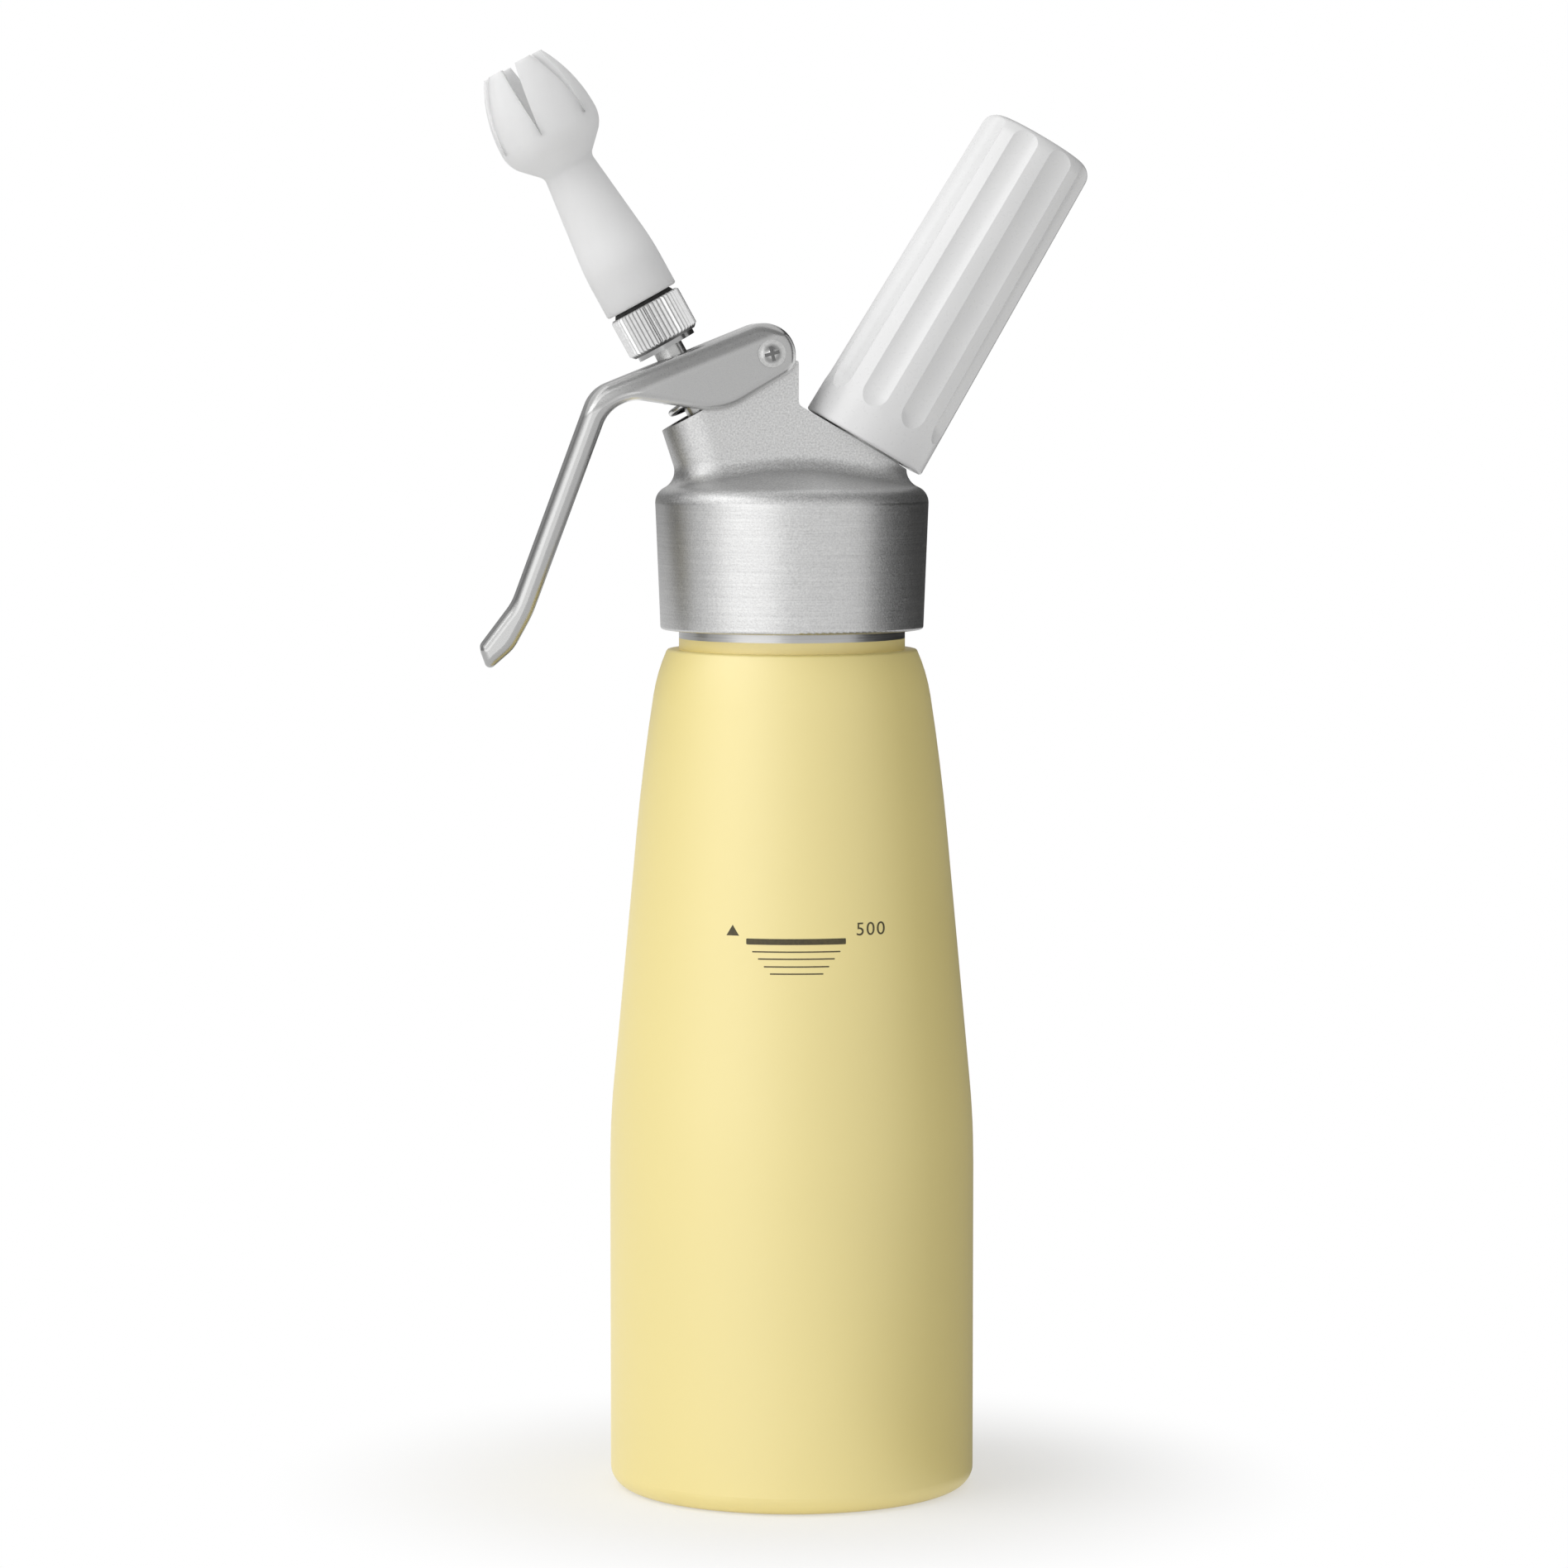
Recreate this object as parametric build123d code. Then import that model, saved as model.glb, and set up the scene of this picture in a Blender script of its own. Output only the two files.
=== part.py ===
from build123d import *
import math
import os

# Half-litre cream whipper, in millimetres and degrees.
# The bottle stands on z = 0 with its axis on Z. The front faces -Y, the nozzle leans to -X and the
# charger holder leans to +X. Everything in the head is placed from the roof above the bottle's rim.

# Bottle
bottle_radius = 39.3
bottle_wall = 1.2
bottle_floor = 1.6
base_corner_radius = 4.0
base_ring_width = 5.0
base_hollow_depth = 3.0
taper_start = 78.8
taper_bend_length = 9.0
taper_angle = 5.3
shoulder_start = 141.8
shoulder_height = 171.2
shoulder_radius = 29.8
ledge_height = 181.2
ledge_width = 2.5
ledge_round = 0.7
neck_radius = 24.3
neck_wall = 2.8
neck_length = 25.6
neck_plain_length = 7.5
rim_chamfer = 0.5

# Screw threads: pitch, depth and turns of each, and the ridge form and play that all of them share.
# A foot share is half the width of a ridge's foot in pitches, and the flank run its narrowing per depth.
neck_thread_pitch = 3.0
neck_thread_depth = 1.1
neck_thread_turns = 4.5
charger_thread_pitch = 2.0
charger_thread_depth = 0.7
charger_thread_turns = 5.0
nozzle_thread_pitch = 1.5
nozzle_thread_depth = 0.6
nozzle_thread_turns = 3.5
thread_play = 0.25
thread_outer_foot = 0.3
thread_inner_foot = 0.23
thread_flank_run = 0.4
thread_sunk = 0.3

# Head
gasket_thickness = 3.0
skirt_play = 0.4
skirt_wall = 3.55
skirt_flare = 1.2
skirt_length = 24.3
skirt_top_rise = 5.6
skirt_top_round = 3.6
skirt_edge_round = 0.6
dome_angle = 14.0
body_thickness = 19.2
body_fillet = 4.0

# Valve axis: it crosses the roof left of the bottle's axis and leans to the left
valve_foot = 6.9
valve_lean = 28.8
valve_boss_height = 26.0
valve_boss_draft = 10.8
spring_recess_depth = 8.5
stem_guide_length = 6.2
cream_chamber_radius = 5.0
seat_boss_radius = 8.5
seat_boss_drop = 4.9

# Valve stem and the pieces on it
stem_radius = 3.3
stem_bore_radius = 1.9
stem_port_radius = 1.3
stem_port_rise = 6.0
stem_bore_overrun = 0.5
stem_play = 0.08
stem_top = 41.1
stem_spigot_radius = 2.7
stem_spigot_length = 6.0
flange_thickness = 1.9
flange_rim = 0.5
oring_section_radius = 0.8
oring_groove_depth = 1.1
seat_land = 0.5
seat_gap = 0.1
collar_radius = 7.6
collar_thickness = 1.4
collar_rise = 8.3
collar_hub_length = 1.5
clip_radius = 4.3
clip_thickness = 0.8
clip_groove_depth = 0.4
clip_mouth = 2.0

# Return spring
spring_wire = 1.4
spring_mean_radius = 6.0
spring_turns = 4.5
spring_end_tightness = 0.2
spring_start_angle = 140.0

# Lever, seen from the front: a top line that falls to the left, a bend, a handle and a flared tip
pivot_reach = 18.3
pivot_rise = 3.5
pivot_radius = 1.9
lug_radius = 3.6
lug_back = 5.9
lug_back_fillet = 1.5
lug_edge_round = 0.5
lug_stop_drop = 1.5
lug_play = 0.4
lever_slope = 22.0
lever_top_offset = 7.1
lever_end_reach = 5.2
lever_arm_length = 38.05
lever_web = 1.8
lever_cheek = 2.3
handle_angle = 20.4
handle_length = 48.8
handle_depth = 4.6
flare_angle = 37.2
flare_length = 11.8
belly_share = 0.368
belly_depth = 15.0
belly_left_angle = 8.5
belly_right_angle = 31.7
lever_end_top_share = 0.78
lever_end_low_share = 0.172
lever_bend_round = 8.0
lever_flare_round = 12.0
lever_flare_inner_round = 24.0
lever_tip_round = 1.8
tip_apex_reach = 2.8
tip_apex_depth = 4.3
tip_apex_round = 1.2
tip_swell = 1.2
tip_swell_run = 4.5
tip_swell_round = 10.0
belly_round = 13.0
handle_taper = 7.5
handle_blend_length = 17.0
lever_edge_round = 1.9
lever_side_play = 0.35
pivot_play = 0.05
lever_pad_radius = 2.2
lever_pad_gap = 0.15
lever_pad_clearance = 0.4
lever_stop_gap = 0.15
lever_slot_play = 0.6
lever_slot_run = 1.9
screw_head_radius = 2.95
screw_head_height = 1.5
screw_shank_radius = 1.2
screw_shank_length = 9.0
screw_tip_room = 2.0
barrel_setback = 0.5
screw_dome = 1.0
screw_head_gap = 0.1
screw_cross_length = 3.2
screw_cross_width = 0.7
screw_cross_depth = 1.1
screw_slot_depth = 0.8
screw_cross_turn = 15.0

# Nozzle adapter with its knurled nut
nut_radius = 8.1
nut_height = 10.3
nut_foot_height = 1.0
nut_foot_radius = 6.6
nut_ridges = 48
nut_ridge_depth = 0.45
nut_chamfer = 0.9
adapter_spigot_radius = 5.0
adapter_spigot_length = 9.0

# Nozzle washer and nozzle
washer_thickness = 0.9
washer_radius = 7.0
washer_top_radius = 6.5
nozzle_length = 57.0
nozzle_base_radius = 8.25
nozzle_base_length = 10.4
nozzle_waist_radius = 5.65
nozzle_base_bend = 60.0
nozzle_base_round = 0.5
nozzle_waist_round = 2.0
bulb_radius = 11.3
bulb_middle = 41.2
bulb_flare = 45.0
bulb_round = 7.0
tip_radius = 6.95
nozzle_wall = 2.0
nozzle_bore_radius = 3.6
notch_count = 6
notch_depth = 16.1
notch_width = 3.3
notch_turn = -11.0

# Charger axis: it crosses the roof right of the bottle's axis and leans to the right
charger_foot = 6.2
charger_lean = 30.5
charger_seat_height = 17.8
charger_boss_shift = 1.3
stud_length = 13.0
stud_bore_depth = 17.0
stud_core_radius = 8.9
gas_hole_radius = 1.25

# Pieces in the stud
check_valve_thickness = 1.6
check_valve_hole = 0.8
carrier_radius = 4.6
carrier_height = 6.6
carrier_gas_hole = 0.6
carrier_gas_ring = 2.0
carrier_gas_count = 3
carrier_recess_depth = 1.0
pin_radius = 1.1
pin_reach = 4.2
pin_seat = 0.8
pin_point_length = 2.4
pin_tip_radius = 0.2
charger_gasket_thickness = 1.9
charger_gasket_bore = 2.9

# Gas charger
charger_radius = 8.9
charger_length = 65.5
charger_neck_radius = 4.3
charger_neck_length = 8.0
charger_shoulder_length = 8.5
charger_shoulder_round = 6.0
charger_hole_radius = 1.6
charger_wall = 1.5
charger_play = 0.35
charger_tip_thickness = 2.0

# Charger holder
holder_gap = 0.4
holder_length = 75.0
holder_base_radius = 14.15
holder_top_radius = 12.85
holder_top_round = 3.4
holder_base_round = 0.6
flute_count = 9
flute_width = 5.9
flute_depth = 1.1
flute_start = 7.6
flute_turn = -17.3

# Small gaps that pieces of one stack keep, the radial gap of pieces pushed into a bore,
# and how near two measures are taken as the same place
face_gap = 0.05
push_fit = 0.03
same_place = 0.01

# Worked-out places
mouth_radius = neck_radius - neck_wall
rim_height = ledge_height + neck_length
roof_height = rim_height + gasket_thickness
skirt_bore = neck_radius + skirt_play
skirt_base_radius = skirt_bore + skirt_wall
skirt_top_radius = skirt_base_radius + skirt_flare
skirt_bottom = roof_height - skirt_length
skirt_top = roof_height + skirt_top_rise
neck_core_radius = neck_radius - neck_thread_depth
boss_radius = body_thickness / 2
spring_recess_floor = valve_boss_height - spring_recess_depth
spring_recess_radius = spring_mean_radius + spring_wire
guide_end = spring_recess_floor - stem_guide_length
valve_seat = -seat_boss_drop
stem_oring_middle = stem_radius + stem_play + oring_section_radius
seat_oring_middle = cream_chamber_radius + seat_land + oring_section_radius
seat_oring_height = valve_seat - seat_gap - oring_section_radius
stem_oring_height = (guide_end + spring_recess_floor) / 2
collar_top = valve_boss_height + collar_rise
collar_bottom = collar_top - collar_thickness
lever_half_gap = body_thickness / 2 + lever_side_play
lever_half_width = lever_half_gap + lever_cheek
adapter_top = stem_top + nut_height
washer_top = adapter_top + washer_thickness
stud_top = charger_seat_height + stud_length
stud_bore = carrier_radius + push_fit
stud_floor = stud_top - stud_bore_depth
carrier_low = stud_floor + check_valve_thickness + face_gap
carrier_high = carrier_low + carrier_height
charger_tip = carrier_high + charger_gasket_thickness + 2 * face_gap
holder_base = charger_seat_height + holder_gap


def leaning_frame(foot, lean):
    """Frame on the roof plane: local Z leans towards +X by the angle, local Y stays the whole's Y."""
    angle = math.radians(lean)
    upward = (math.sin(angle), 0, math.cos(angle))
    sideways = (math.cos(angle), 0, -math.sin(angle))
    return Plane(origin=(foot, 0, roof_height), x_dir=sideways, z_dir=upward)


valve_frame = leaning_frame(-valve_foot, -valve_lean)
charger_frame = leaning_frame(charger_foot, charger_lean)
pivot = valve_frame.from_local_coords((pivot_reach, 0, valve_boss_height + pivot_rise))
pivot_frame = Plane(origin=pivot, x_dir=(1, 0, 0), z_dir=(0, -1, 0))


def turned(outline):
    """Solid of revolution about Z from a closed outline drawn as (radius, height)."""
    return revolve(Plane.XZ * make_face(outline), Axis.Z)


def ring(inner, outer, low, high):
    """Plain ring about Z between two heights."""
    return turned(Polyline((inner, low), (outer, low), (outer, high), (inner, high), close=True))


def rod(radius, low, high):
    """Round bar about Z between two heights."""
    return Pos(0, 0, low) * Cylinder(radius, high - low, align=(Align.CENTER, Align.CENTER, Align.MIN))


def torus_ring(middle_radius, section_radius, height):
    """Sealing ring of round section about Z."""
    return Pos(0, 0, height) * Torus(middle_radius, section_radius)


def thread_ridge(radius, depth, pitch, turns, low):
    """Right-hand ridge wound on a cylinder: outwards for a positive depth, else inwards."""
    root_half = pitch * (thread_outer_foot if depth > 0 else thread_inner_foot)
    tip_half = root_half - thread_flank_run * abs(depth)
    foot = -math.copysign(thread_sunk, depth)
    helix = Helix(pitch, pitch * turns, radius, center=(0, 0, low))
    section_plane = Plane(origin=helix @ 0, x_dir=(1, 0, 0), z_dir=helix % 0)
    section = Polyline(
        (foot, -root_half),
        (depth, -tip_half),
        (depth, tip_half),
        (foot, root_half),
        close=True,
    )
    return sweep(section_plane * make_face(section), path=helix, is_frenet=True)


def heading(angle):
    """Unit direction in the front view, measured from +X towards +Z."""
    turn = math.radians(angle)
    return Vector(math.cos(turn), math.sin(turn))


def meet(first, first_angle, second, second_angle):
    """Point where two lines of the front view cross."""
    along = heading(first_angle)
    across = heading(second_angle)
    apart = second - first
    share = (apart.X * across.Y - apart.Y * across.X) / (along.X * across.Y - along.Y * across.X)
    return first + along * share


def off_line(spot, start, angle):
    """Distance of a front-view point from a line."""
    along = heading(angle)
    apart = spot - start
    return abs(apart.X * along.Y - apart.Y * along.X)


def front_plate(outline, half_thickness):
    """Plate of a front-view outline (x, z), of equal thickness before and behind the middle plane."""
    return extrude(Plane.XZ * make_face(outline), amount=half_thickness, both=True)


def bottle_side(inset, foot, end):
    """Half outline of the bottle from the axis at the base up to the shoulder's end."""
    side = bottle_radius - inset
    corner = base_corner_radius - inset
    ring_inner = bottle_radius - base_corner_radius - base_ring_width
    slope = math.tan(math.radians(taper_angle))
    bend_top = Vector(side - taper_bend_length * slope, taper_start + taper_bend_length)
    taper_end = Vector(side - (shoulder_start - taper_start) * slope, shoulder_start)
    taper_direction = (taper_end - bend_top).normalized()
    hollow = TangentArc((0, base_hollow_depth + foot), (ring_inner, foot), tangent=(1, 0))
    standing_ring = Line((ring_inner, foot), (side - corner, foot))
    corner_arc = TangentArc((side - corner, foot), (side, foot + corner), tangent=(1, 0))
    straight = Line((side, foot + corner), (side, taper_start - taper_bend_length))
    bend = TangentArc((side, taper_start - taper_bend_length), bend_top, tangent=(0, 1))
    taper = Line(bend_top, taper_end)
    shoulder = TangentArc(taper_end, (shoulder_radius - inset, shoulder_height), tangent=taper_direction)
    crown = TangentArc((shoulder_radius - inset, shoulder_height), end, tangent=shoulder % 1)
    return hollow + standing_ring + corner_arc + straight + bend + taper + shoulder + crown


def make_bottle():
    ledge_edge = (neck_radius + ledge_width, ledge_height)
    thread_foot = ledge_height + neck_plain_length
    inner_end = (mouth_radius, ledge_height - neck_wall)
    outside = bottle_side(0, 0, ledge_edge) + Polyline(
        ledge_edge,
        (neck_radius, ledge_height),
        (neck_radius, thread_foot),
        (neck_core_radius, thread_foot + neck_thread_depth),
        (neck_core_radius, rim_height - rim_chamfer),
        (neck_core_radius - rim_chamfer, rim_height),
        (mouth_radius, rim_height),
        inner_end,
    )
    inside = bottle_side(bottle_wall, bottle_floor, inner_end)
    axis_piece = Line((0, base_hollow_depth), (0, base_hollow_depth + bottle_floor))
    shell = turned(outside + inside + axis_piece)
    circles = shell.edges().filter_by(GeomType.CIRCLE)
    ledge_rims = [rim for rim in circles if abs(rim.radius - ledge_edge[0]) < same_place]
    shell = fillet(ledge_rims, ledge_round)
    first_turn = thread_foot + neck_thread_depth + neck_thread_pitch / 2
    ridge_depth = neck_thread_depth - thread_play
    return shell + thread_ridge(
        neck_core_radius, ridge_depth, neck_thread_pitch, neck_thread_turns, first_turn
    )


def make_head_gasket():
    return ring(mouth_radius, skirt_bore - thread_play, rim_height, roof_height)


def front_point(frame, sideways, upward):
    """Front-view point (x, z) of a place given in a leaning frame."""
    place = frame.from_local_coords((sideways, 0, upward))
    return Vector(place.X, place.Z)


def dome_height(radius):
    """Height of the head's dome at a distance from the bottle's axis."""
    return skirt_top + (skirt_top_radius - radius) * math.tan(math.radians(dome_angle))


def is_body_foot(edge):
    """Whether an edge is where the flat body and the bosses meet the dome's slope."""
    places = [edge @ share for share in (0, 0.3, 0.5, 0.7, 1)]
    radii = [math.hypot(place.X, place.Y) for place in places]
    heights = [dome_height(radius) for radius in radii]
    on_dome = all(abs(place.Z - height) < same_place for place, height in zip(places, heights))
    return on_dome and edge.geom_type not in (GeomType.LINE, GeomType.CIRCLE)


def make_head_blank():
    """Outside of the head: skirt, dome, flat body with its lug, and the two slanted bosses."""
    skirt = turned(
        FilletPolyline(
            (0, roof_height),
            (skirt_bore, roof_height),
            (skirt_bore, skirt_bottom),
            (skirt_base_radius, skirt_bottom),
            (skirt_top_radius, skirt_top),
            (0, dome_height(0)),
            radius=[0, 0, skirt_edge_round, skirt_edge_round, skirt_top_round, 0],
            close=True,
        )
    )
    boss_lean = valve_lean - valve_boss_draft
    boss_corner = front_point(valve_frame, -boss_radius, valve_boss_height)
    boss_middle = boss_corner + heading(boss_lean) * boss_radius
    boss_foot = meet(boss_middle, 90 + boss_lean, Vector(0, roof_height), 0)
    boss_frame = leaning_frame(boss_foot.X, -boss_lean)
    centre = Vector(pivot.X, pivot.Z)
    stop = centre.Y - lug_stop_drop
    back = centre.X + lug_back
    seat_centre = front_point(charger_frame, charger_boss_shift, charger_seat_height)
    back_foot = meet(seat_centre, -charger_lean, Vector(back, stop), 90)
    outline = FilletPolyline(
        boss_foot,
        meet(boss_foot, 90 + boss_lean, boss_corner, valve_lean),
        front_point(valve_frame, pivot_reach - lug_radius, valve_boss_height),
        front_point(valve_frame, pivot_reach - lug_radius, valve_boss_height + pivot_rise),
        centre,
        (centre.X, stop),
        (back, stop),
        back_foot,
        seat_centre,
        front_point(charger_frame, charger_boss_shift, 0),
        radius=[0, 0, 0, 0, 0, 0, lug_edge_round, lug_back_fillet, 0, 0],
        close=True,
    )
    plate = front_plate(outline, body_thickness / 2)
    lug = pivot_frame.location * Cylinder(lug_radius, body_thickness)
    valve_start = boss_radius * math.tan(math.radians(boss_lean))
    valve_boss = boss_frame.location * rod(boss_radius, valve_start, valve_boss_height + boss_radius)
    above_boss = rod(2 * body_thickness, valve_boss_height, 2 * valve_boss_height)
    valve_boss -= valve_frame.location * above_boss
    charger_start = (boss_radius + charger_boss_shift) * math.tan(math.radians(charger_lean))
    charger_boss = Pos(charger_boss_shift, 0, 0) * rod(boss_radius, charger_start, charger_seat_height)
    blank = skirt + plate + lug + valve_boss + charger_frame.location * charger_boss
    return fillet([edge for edge in blank.edges() if is_body_foot(edge)], body_fillet)


def make_head_body():
    seat_boss_top = seat_boss_radius * math.tan(math.radians(valve_lean)) + face_gap
    seat_boss = valve_frame.location * rod(seat_boss_radius, valve_seat, seat_boss_top)
    guide_groove_low = stem_oring_height - oring_section_radius - push_fit
    guide_groove_high = stem_oring_height + oring_section_radius + push_fit
    guide_groove_radius = stem_oring_middle + oring_section_radius + push_fit
    valve_bore = rod(cream_chamber_radius, valve_seat, guide_end)
    valve_bore += rod(stem_radius + stem_play, valve_seat, valve_boss_height)
    valve_bore += rod(guide_groove_radius, guide_groove_low, guide_groove_high)
    valve_bore += rod(spring_recess_radius, spring_recess_floor, valve_boss_height + boss_radius)
    stud = rod(stud_core_radius, charger_seat_height - face_gap, stud_top)
    stud_start = charger_seat_height + charger_thread_pitch
    stud += thread_ridge(
        stud_core_radius, charger_thread_depth, charger_thread_pitch, charger_thread_turns, stud_start
    )
    gas_bore = rod(stud_bore, stud_floor, stud_top + face_gap)
    gas_bore += rod(gas_hole_radius, -boss_radius, stud_floor)
    neck_thread_foot = ledge_height + neck_plain_length + neck_thread_depth
    neck_start = neck_thread_foot + neck_thread_pitch
    ridge_depth = neck_core_radius + thread_play - skirt_bore
    ridge_turns = neck_thread_turns - 1
    skirt_thread = thread_ridge(skirt_bore, ridge_depth, neck_thread_pitch, ridge_turns, neck_start)
    head = make_head_blank() + seat_boss + charger_frame.location * stud + skirt_thread
    head -= valve_frame.location * valve_bore
    head -= charger_frame.location * gas_bore
    return head - pivot_frame.location * Cylinder(pivot_radius + push_fit, body_thickness)


def make_valve_stem():
    """Hollow stem: a flange with a seal groove at the foot, ports above it and a spigot at the top."""
    groove_floor = seat_oring_height - oring_section_radius - push_fit
    groove_inner = seat_oring_middle - oring_section_radius - push_fit
    groove_outer = seat_oring_middle + oring_section_radius + push_fit
    flange_top = groove_floor + oring_groove_depth
    clip_low = collar_top + face_gap
    clip_high = clip_low + clip_thickness
    stem = turned(
        Polyline(
            (0, groove_floor - flange_thickness),
            (groove_outer + flange_rim, groove_floor - flange_thickness),
            (groove_outer + flange_rim, flange_top),
            (groove_outer, flange_top),
            (groove_outer, groove_floor),
            (groove_inner, groove_floor),
            (groove_inner, flange_top),
            (stem_radius, flange_top),
            (stem_radius, clip_low),
            (stem_radius - clip_groove_depth, clip_low),
            (stem_radius - clip_groove_depth, clip_high),
            (stem_radius, clip_high),
            (stem_radius, stem_top),
            (stem_spigot_radius, stem_top),
            (stem_spigot_radius, stem_top + stem_spigot_length),
            (0, stem_top + stem_spigot_length),
            close=True,
        )
    )
    port_height = valve_seat + stem_port_rise
    ports = Pos(0, 0, port_height) * Rot(90, 0, 0) * Cylinder(stem_port_radius, 4 * stem_radius)
    ports += Pos(0, 0, port_height) * Rot(0, 90, 0) * Cylinder(stem_port_radius, 4 * stem_radius)
    bore_end = port_height - stem_port_radius - stem_bore_overrun
    bore = rod(stem_bore_radius, bore_end, stem_top + stem_spigot_length)
    return valve_frame.location * (stem - ports - bore)


def make_seat_oring():
    return valve_frame.location * torus_ring(seat_oring_middle, oring_section_radius, seat_oring_height)


def make_stem_oring():
    return valve_frame.location * torus_ring(stem_oring_middle, oring_section_radius, stem_oring_height)


def make_spring_collar():
    """Washer with a short hub that keeps the spring central."""
    hub_radius = spring_mean_radius - spring_wire
    return valve_frame.location * turned(
        Polyline(
            (stem_radius + push_fit, collar_bottom - collar_hub_length),
            (hub_radius, collar_bottom - collar_hub_length),
            (hub_radius, collar_bottom),
            (collar_radius, collar_bottom),
            (collar_radius, collar_top),
            (stem_radius + push_fit, collar_top),
            close=True,
        )
    )


def make_collar_clip():
    """Snap ring with a gap, in the stem's groove above the collar."""
    low = collar_top + face_gap + push_fit
    high = collar_top + face_gap + clip_thickness - push_fit
    clip = ring(stem_radius - clip_groove_depth + push_fit, clip_radius, low, high)
    mouth = Pos(clip_radius, 0, low) * Box(2 * clip_radius, clip_mouth, 4 * clip_thickness)
    return valve_frame.location * (clip - mouth)


def spring_place(share):
    """Point and direction of the wire's axis at a share of its length. The end turns lie closer."""
    low = spring_recess_floor + face_gap + spring_wire / 2
    rise = collar_bottom - face_gap - spring_wire / 2 - low
    sweep_angle = 2 * math.pi * spring_turns
    angle = math.radians(spring_start_angle) + sweep_angle * share
    height = low + rise * (share - spring_end_tightness * math.sin(2 * math.pi * share) / (2 * math.pi))
    climb = rise * (1 - spring_end_tightness * math.cos(2 * math.pi * share))
    point = Vector(spring_mean_radius * math.cos(angle), spring_mean_radius * math.sin(angle), height)
    around = spring_mean_radius * sweep_angle
    direction = Vector(-around * math.sin(angle), around * math.cos(angle), climb)
    return point, direction.normalized()


def biarc(start, start_direction, end, end_direction):
    """Two arcs that leave one point and reach another in given directions, and join smoothly."""
    chord = end - start
    both = start_direction + end_direction
    square = 4 - both.dot(both)
    middle = chord.dot(both)
    reach = (math.sqrt(middle * middle + square * chord.dot(chord)) - middle) / square
    first_corner = start + start_direction * reach
    last_corner = end - end_direction * reach
    joint = (first_corner + last_corner) * 0.5
    first = Edge.make_tangent_arc(start, start_direction, joint)
    last = Edge.make_tangent_arc(joint, (last_corner - first_corner).normalized(), end)
    return [first, last]


def make_return_spring():
    """Coil of round wire on biarcs of a quarter turn each."""
    quarters = round(4 * spring_turns)
    stations = [spring_place(number / quarters) for number in range(quarters + 1)]
    arcs = []
    for here, there in zip(stations, stations[1:]):
        arcs += biarc(*here, *there)
    start, direction = stations[0]
    section = Plane(origin=start, z_dir=direction) * Circle(spring_wire / 2)
    return valve_frame.location * sweep(section, path=Wire(arcs))


def spring_least_gap():
    """Least gap between turns of the spring, measured on points half a turn or more apart."""
    per_turn = 24
    count = round(per_turn * spring_turns)
    points = [spring_place(number / count)[0] for number in range(count + 1)]
    apart = per_turn // 2
    least = spring_mean_radius
    for number, point in enumerate(points):
        for other in points[number + apart:]:
            least = min(least, (other - point).length)
    return least - spring_wire


def lever_corners(inset):
    """Corners of the lever's outer line, moved inwards by the inset, from the pivot end to the tip."""
    centre = Vector(pivot.X, pivot.Z)
    top_foot = centre + heading(lever_slope + 90) * lever_top_offset
    top_line = top_foot + heading(lever_slope - 90) * inset
    bend_out = top_foot + heading(lever_slope + 180) * lever_arm_length
    handle_heading = 270 - handle_angle
    flare_heading = 270 - flare_angle
    flare_out = bend_out + heading(handle_heading) * handle_length
    handle_line = bend_out + heading(handle_heading + 90) * inset
    flare_line = flare_out + heading(flare_heading + 90) * inset
    end_line = centre + Vector(lever_end_reach - inset, 0)
    end = meet(top_line, lever_slope, end_line, 90)
    bend = meet(top_line, lever_slope, handle_line, handle_heading)
    flare = meet(handle_line, handle_heading, flare_line, flare_heading)
    tip = flare_line + heading(flare_heading) * (flare_length - inset)
    return end, bend, flare, tip


def lever_tip_corners():
    """Corners of the tip past its outer one: the apex of its slanted end and its swollen inner side."""
    tip = lever_corners(0)[3]
    along = heading(270 - flare_angle)
    inwards = heading(360 - flare_angle)
    apex = tip + along * tip_apex_reach + inwards * tip_apex_depth
    swell = tip - along * tip_swell_run + inwards * (handle_depth + tip_swell)
    return apex, swell


def lever_plan(half_width):
    """Top view of the lever: even along the fork, then drawn in by an arc to a tapered handle."""
    bend, tip = lever_corners(0)[1::2]
    right = pivot.X + 2 * lever_end_reach
    left = tip.X - handle_depth
    blend_start = bend.X + handle_blend_length
    bend_width = half_width - handle_blend_length * math.tan(math.radians(handle_taper / 2))
    left_width = bend_width - (bend.X - left) * math.tan(math.radians(handle_taper))
    fork = Line((right, half_width), (blend_start, half_width))
    blend = TangentArc((blend_start, half_width), (bend.X, bend_width), tangent=(-1, 0))
    handle = Line((bend.X, bend_width), (left, left_width))
    side = fork + blend + handle
    other = mirror(side, about=Plane.XZ)
    right_end = Line((right, -half_width), (right, half_width))
    left_end = Line((left, -left_width), (left, left_width))
    plan = make_face(side + other + right_end + left_end)
    return extrude(Pos(0, 0, pivot.Z) * plan, amount=2 * (handle_length + flare_length), both=True)


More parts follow.
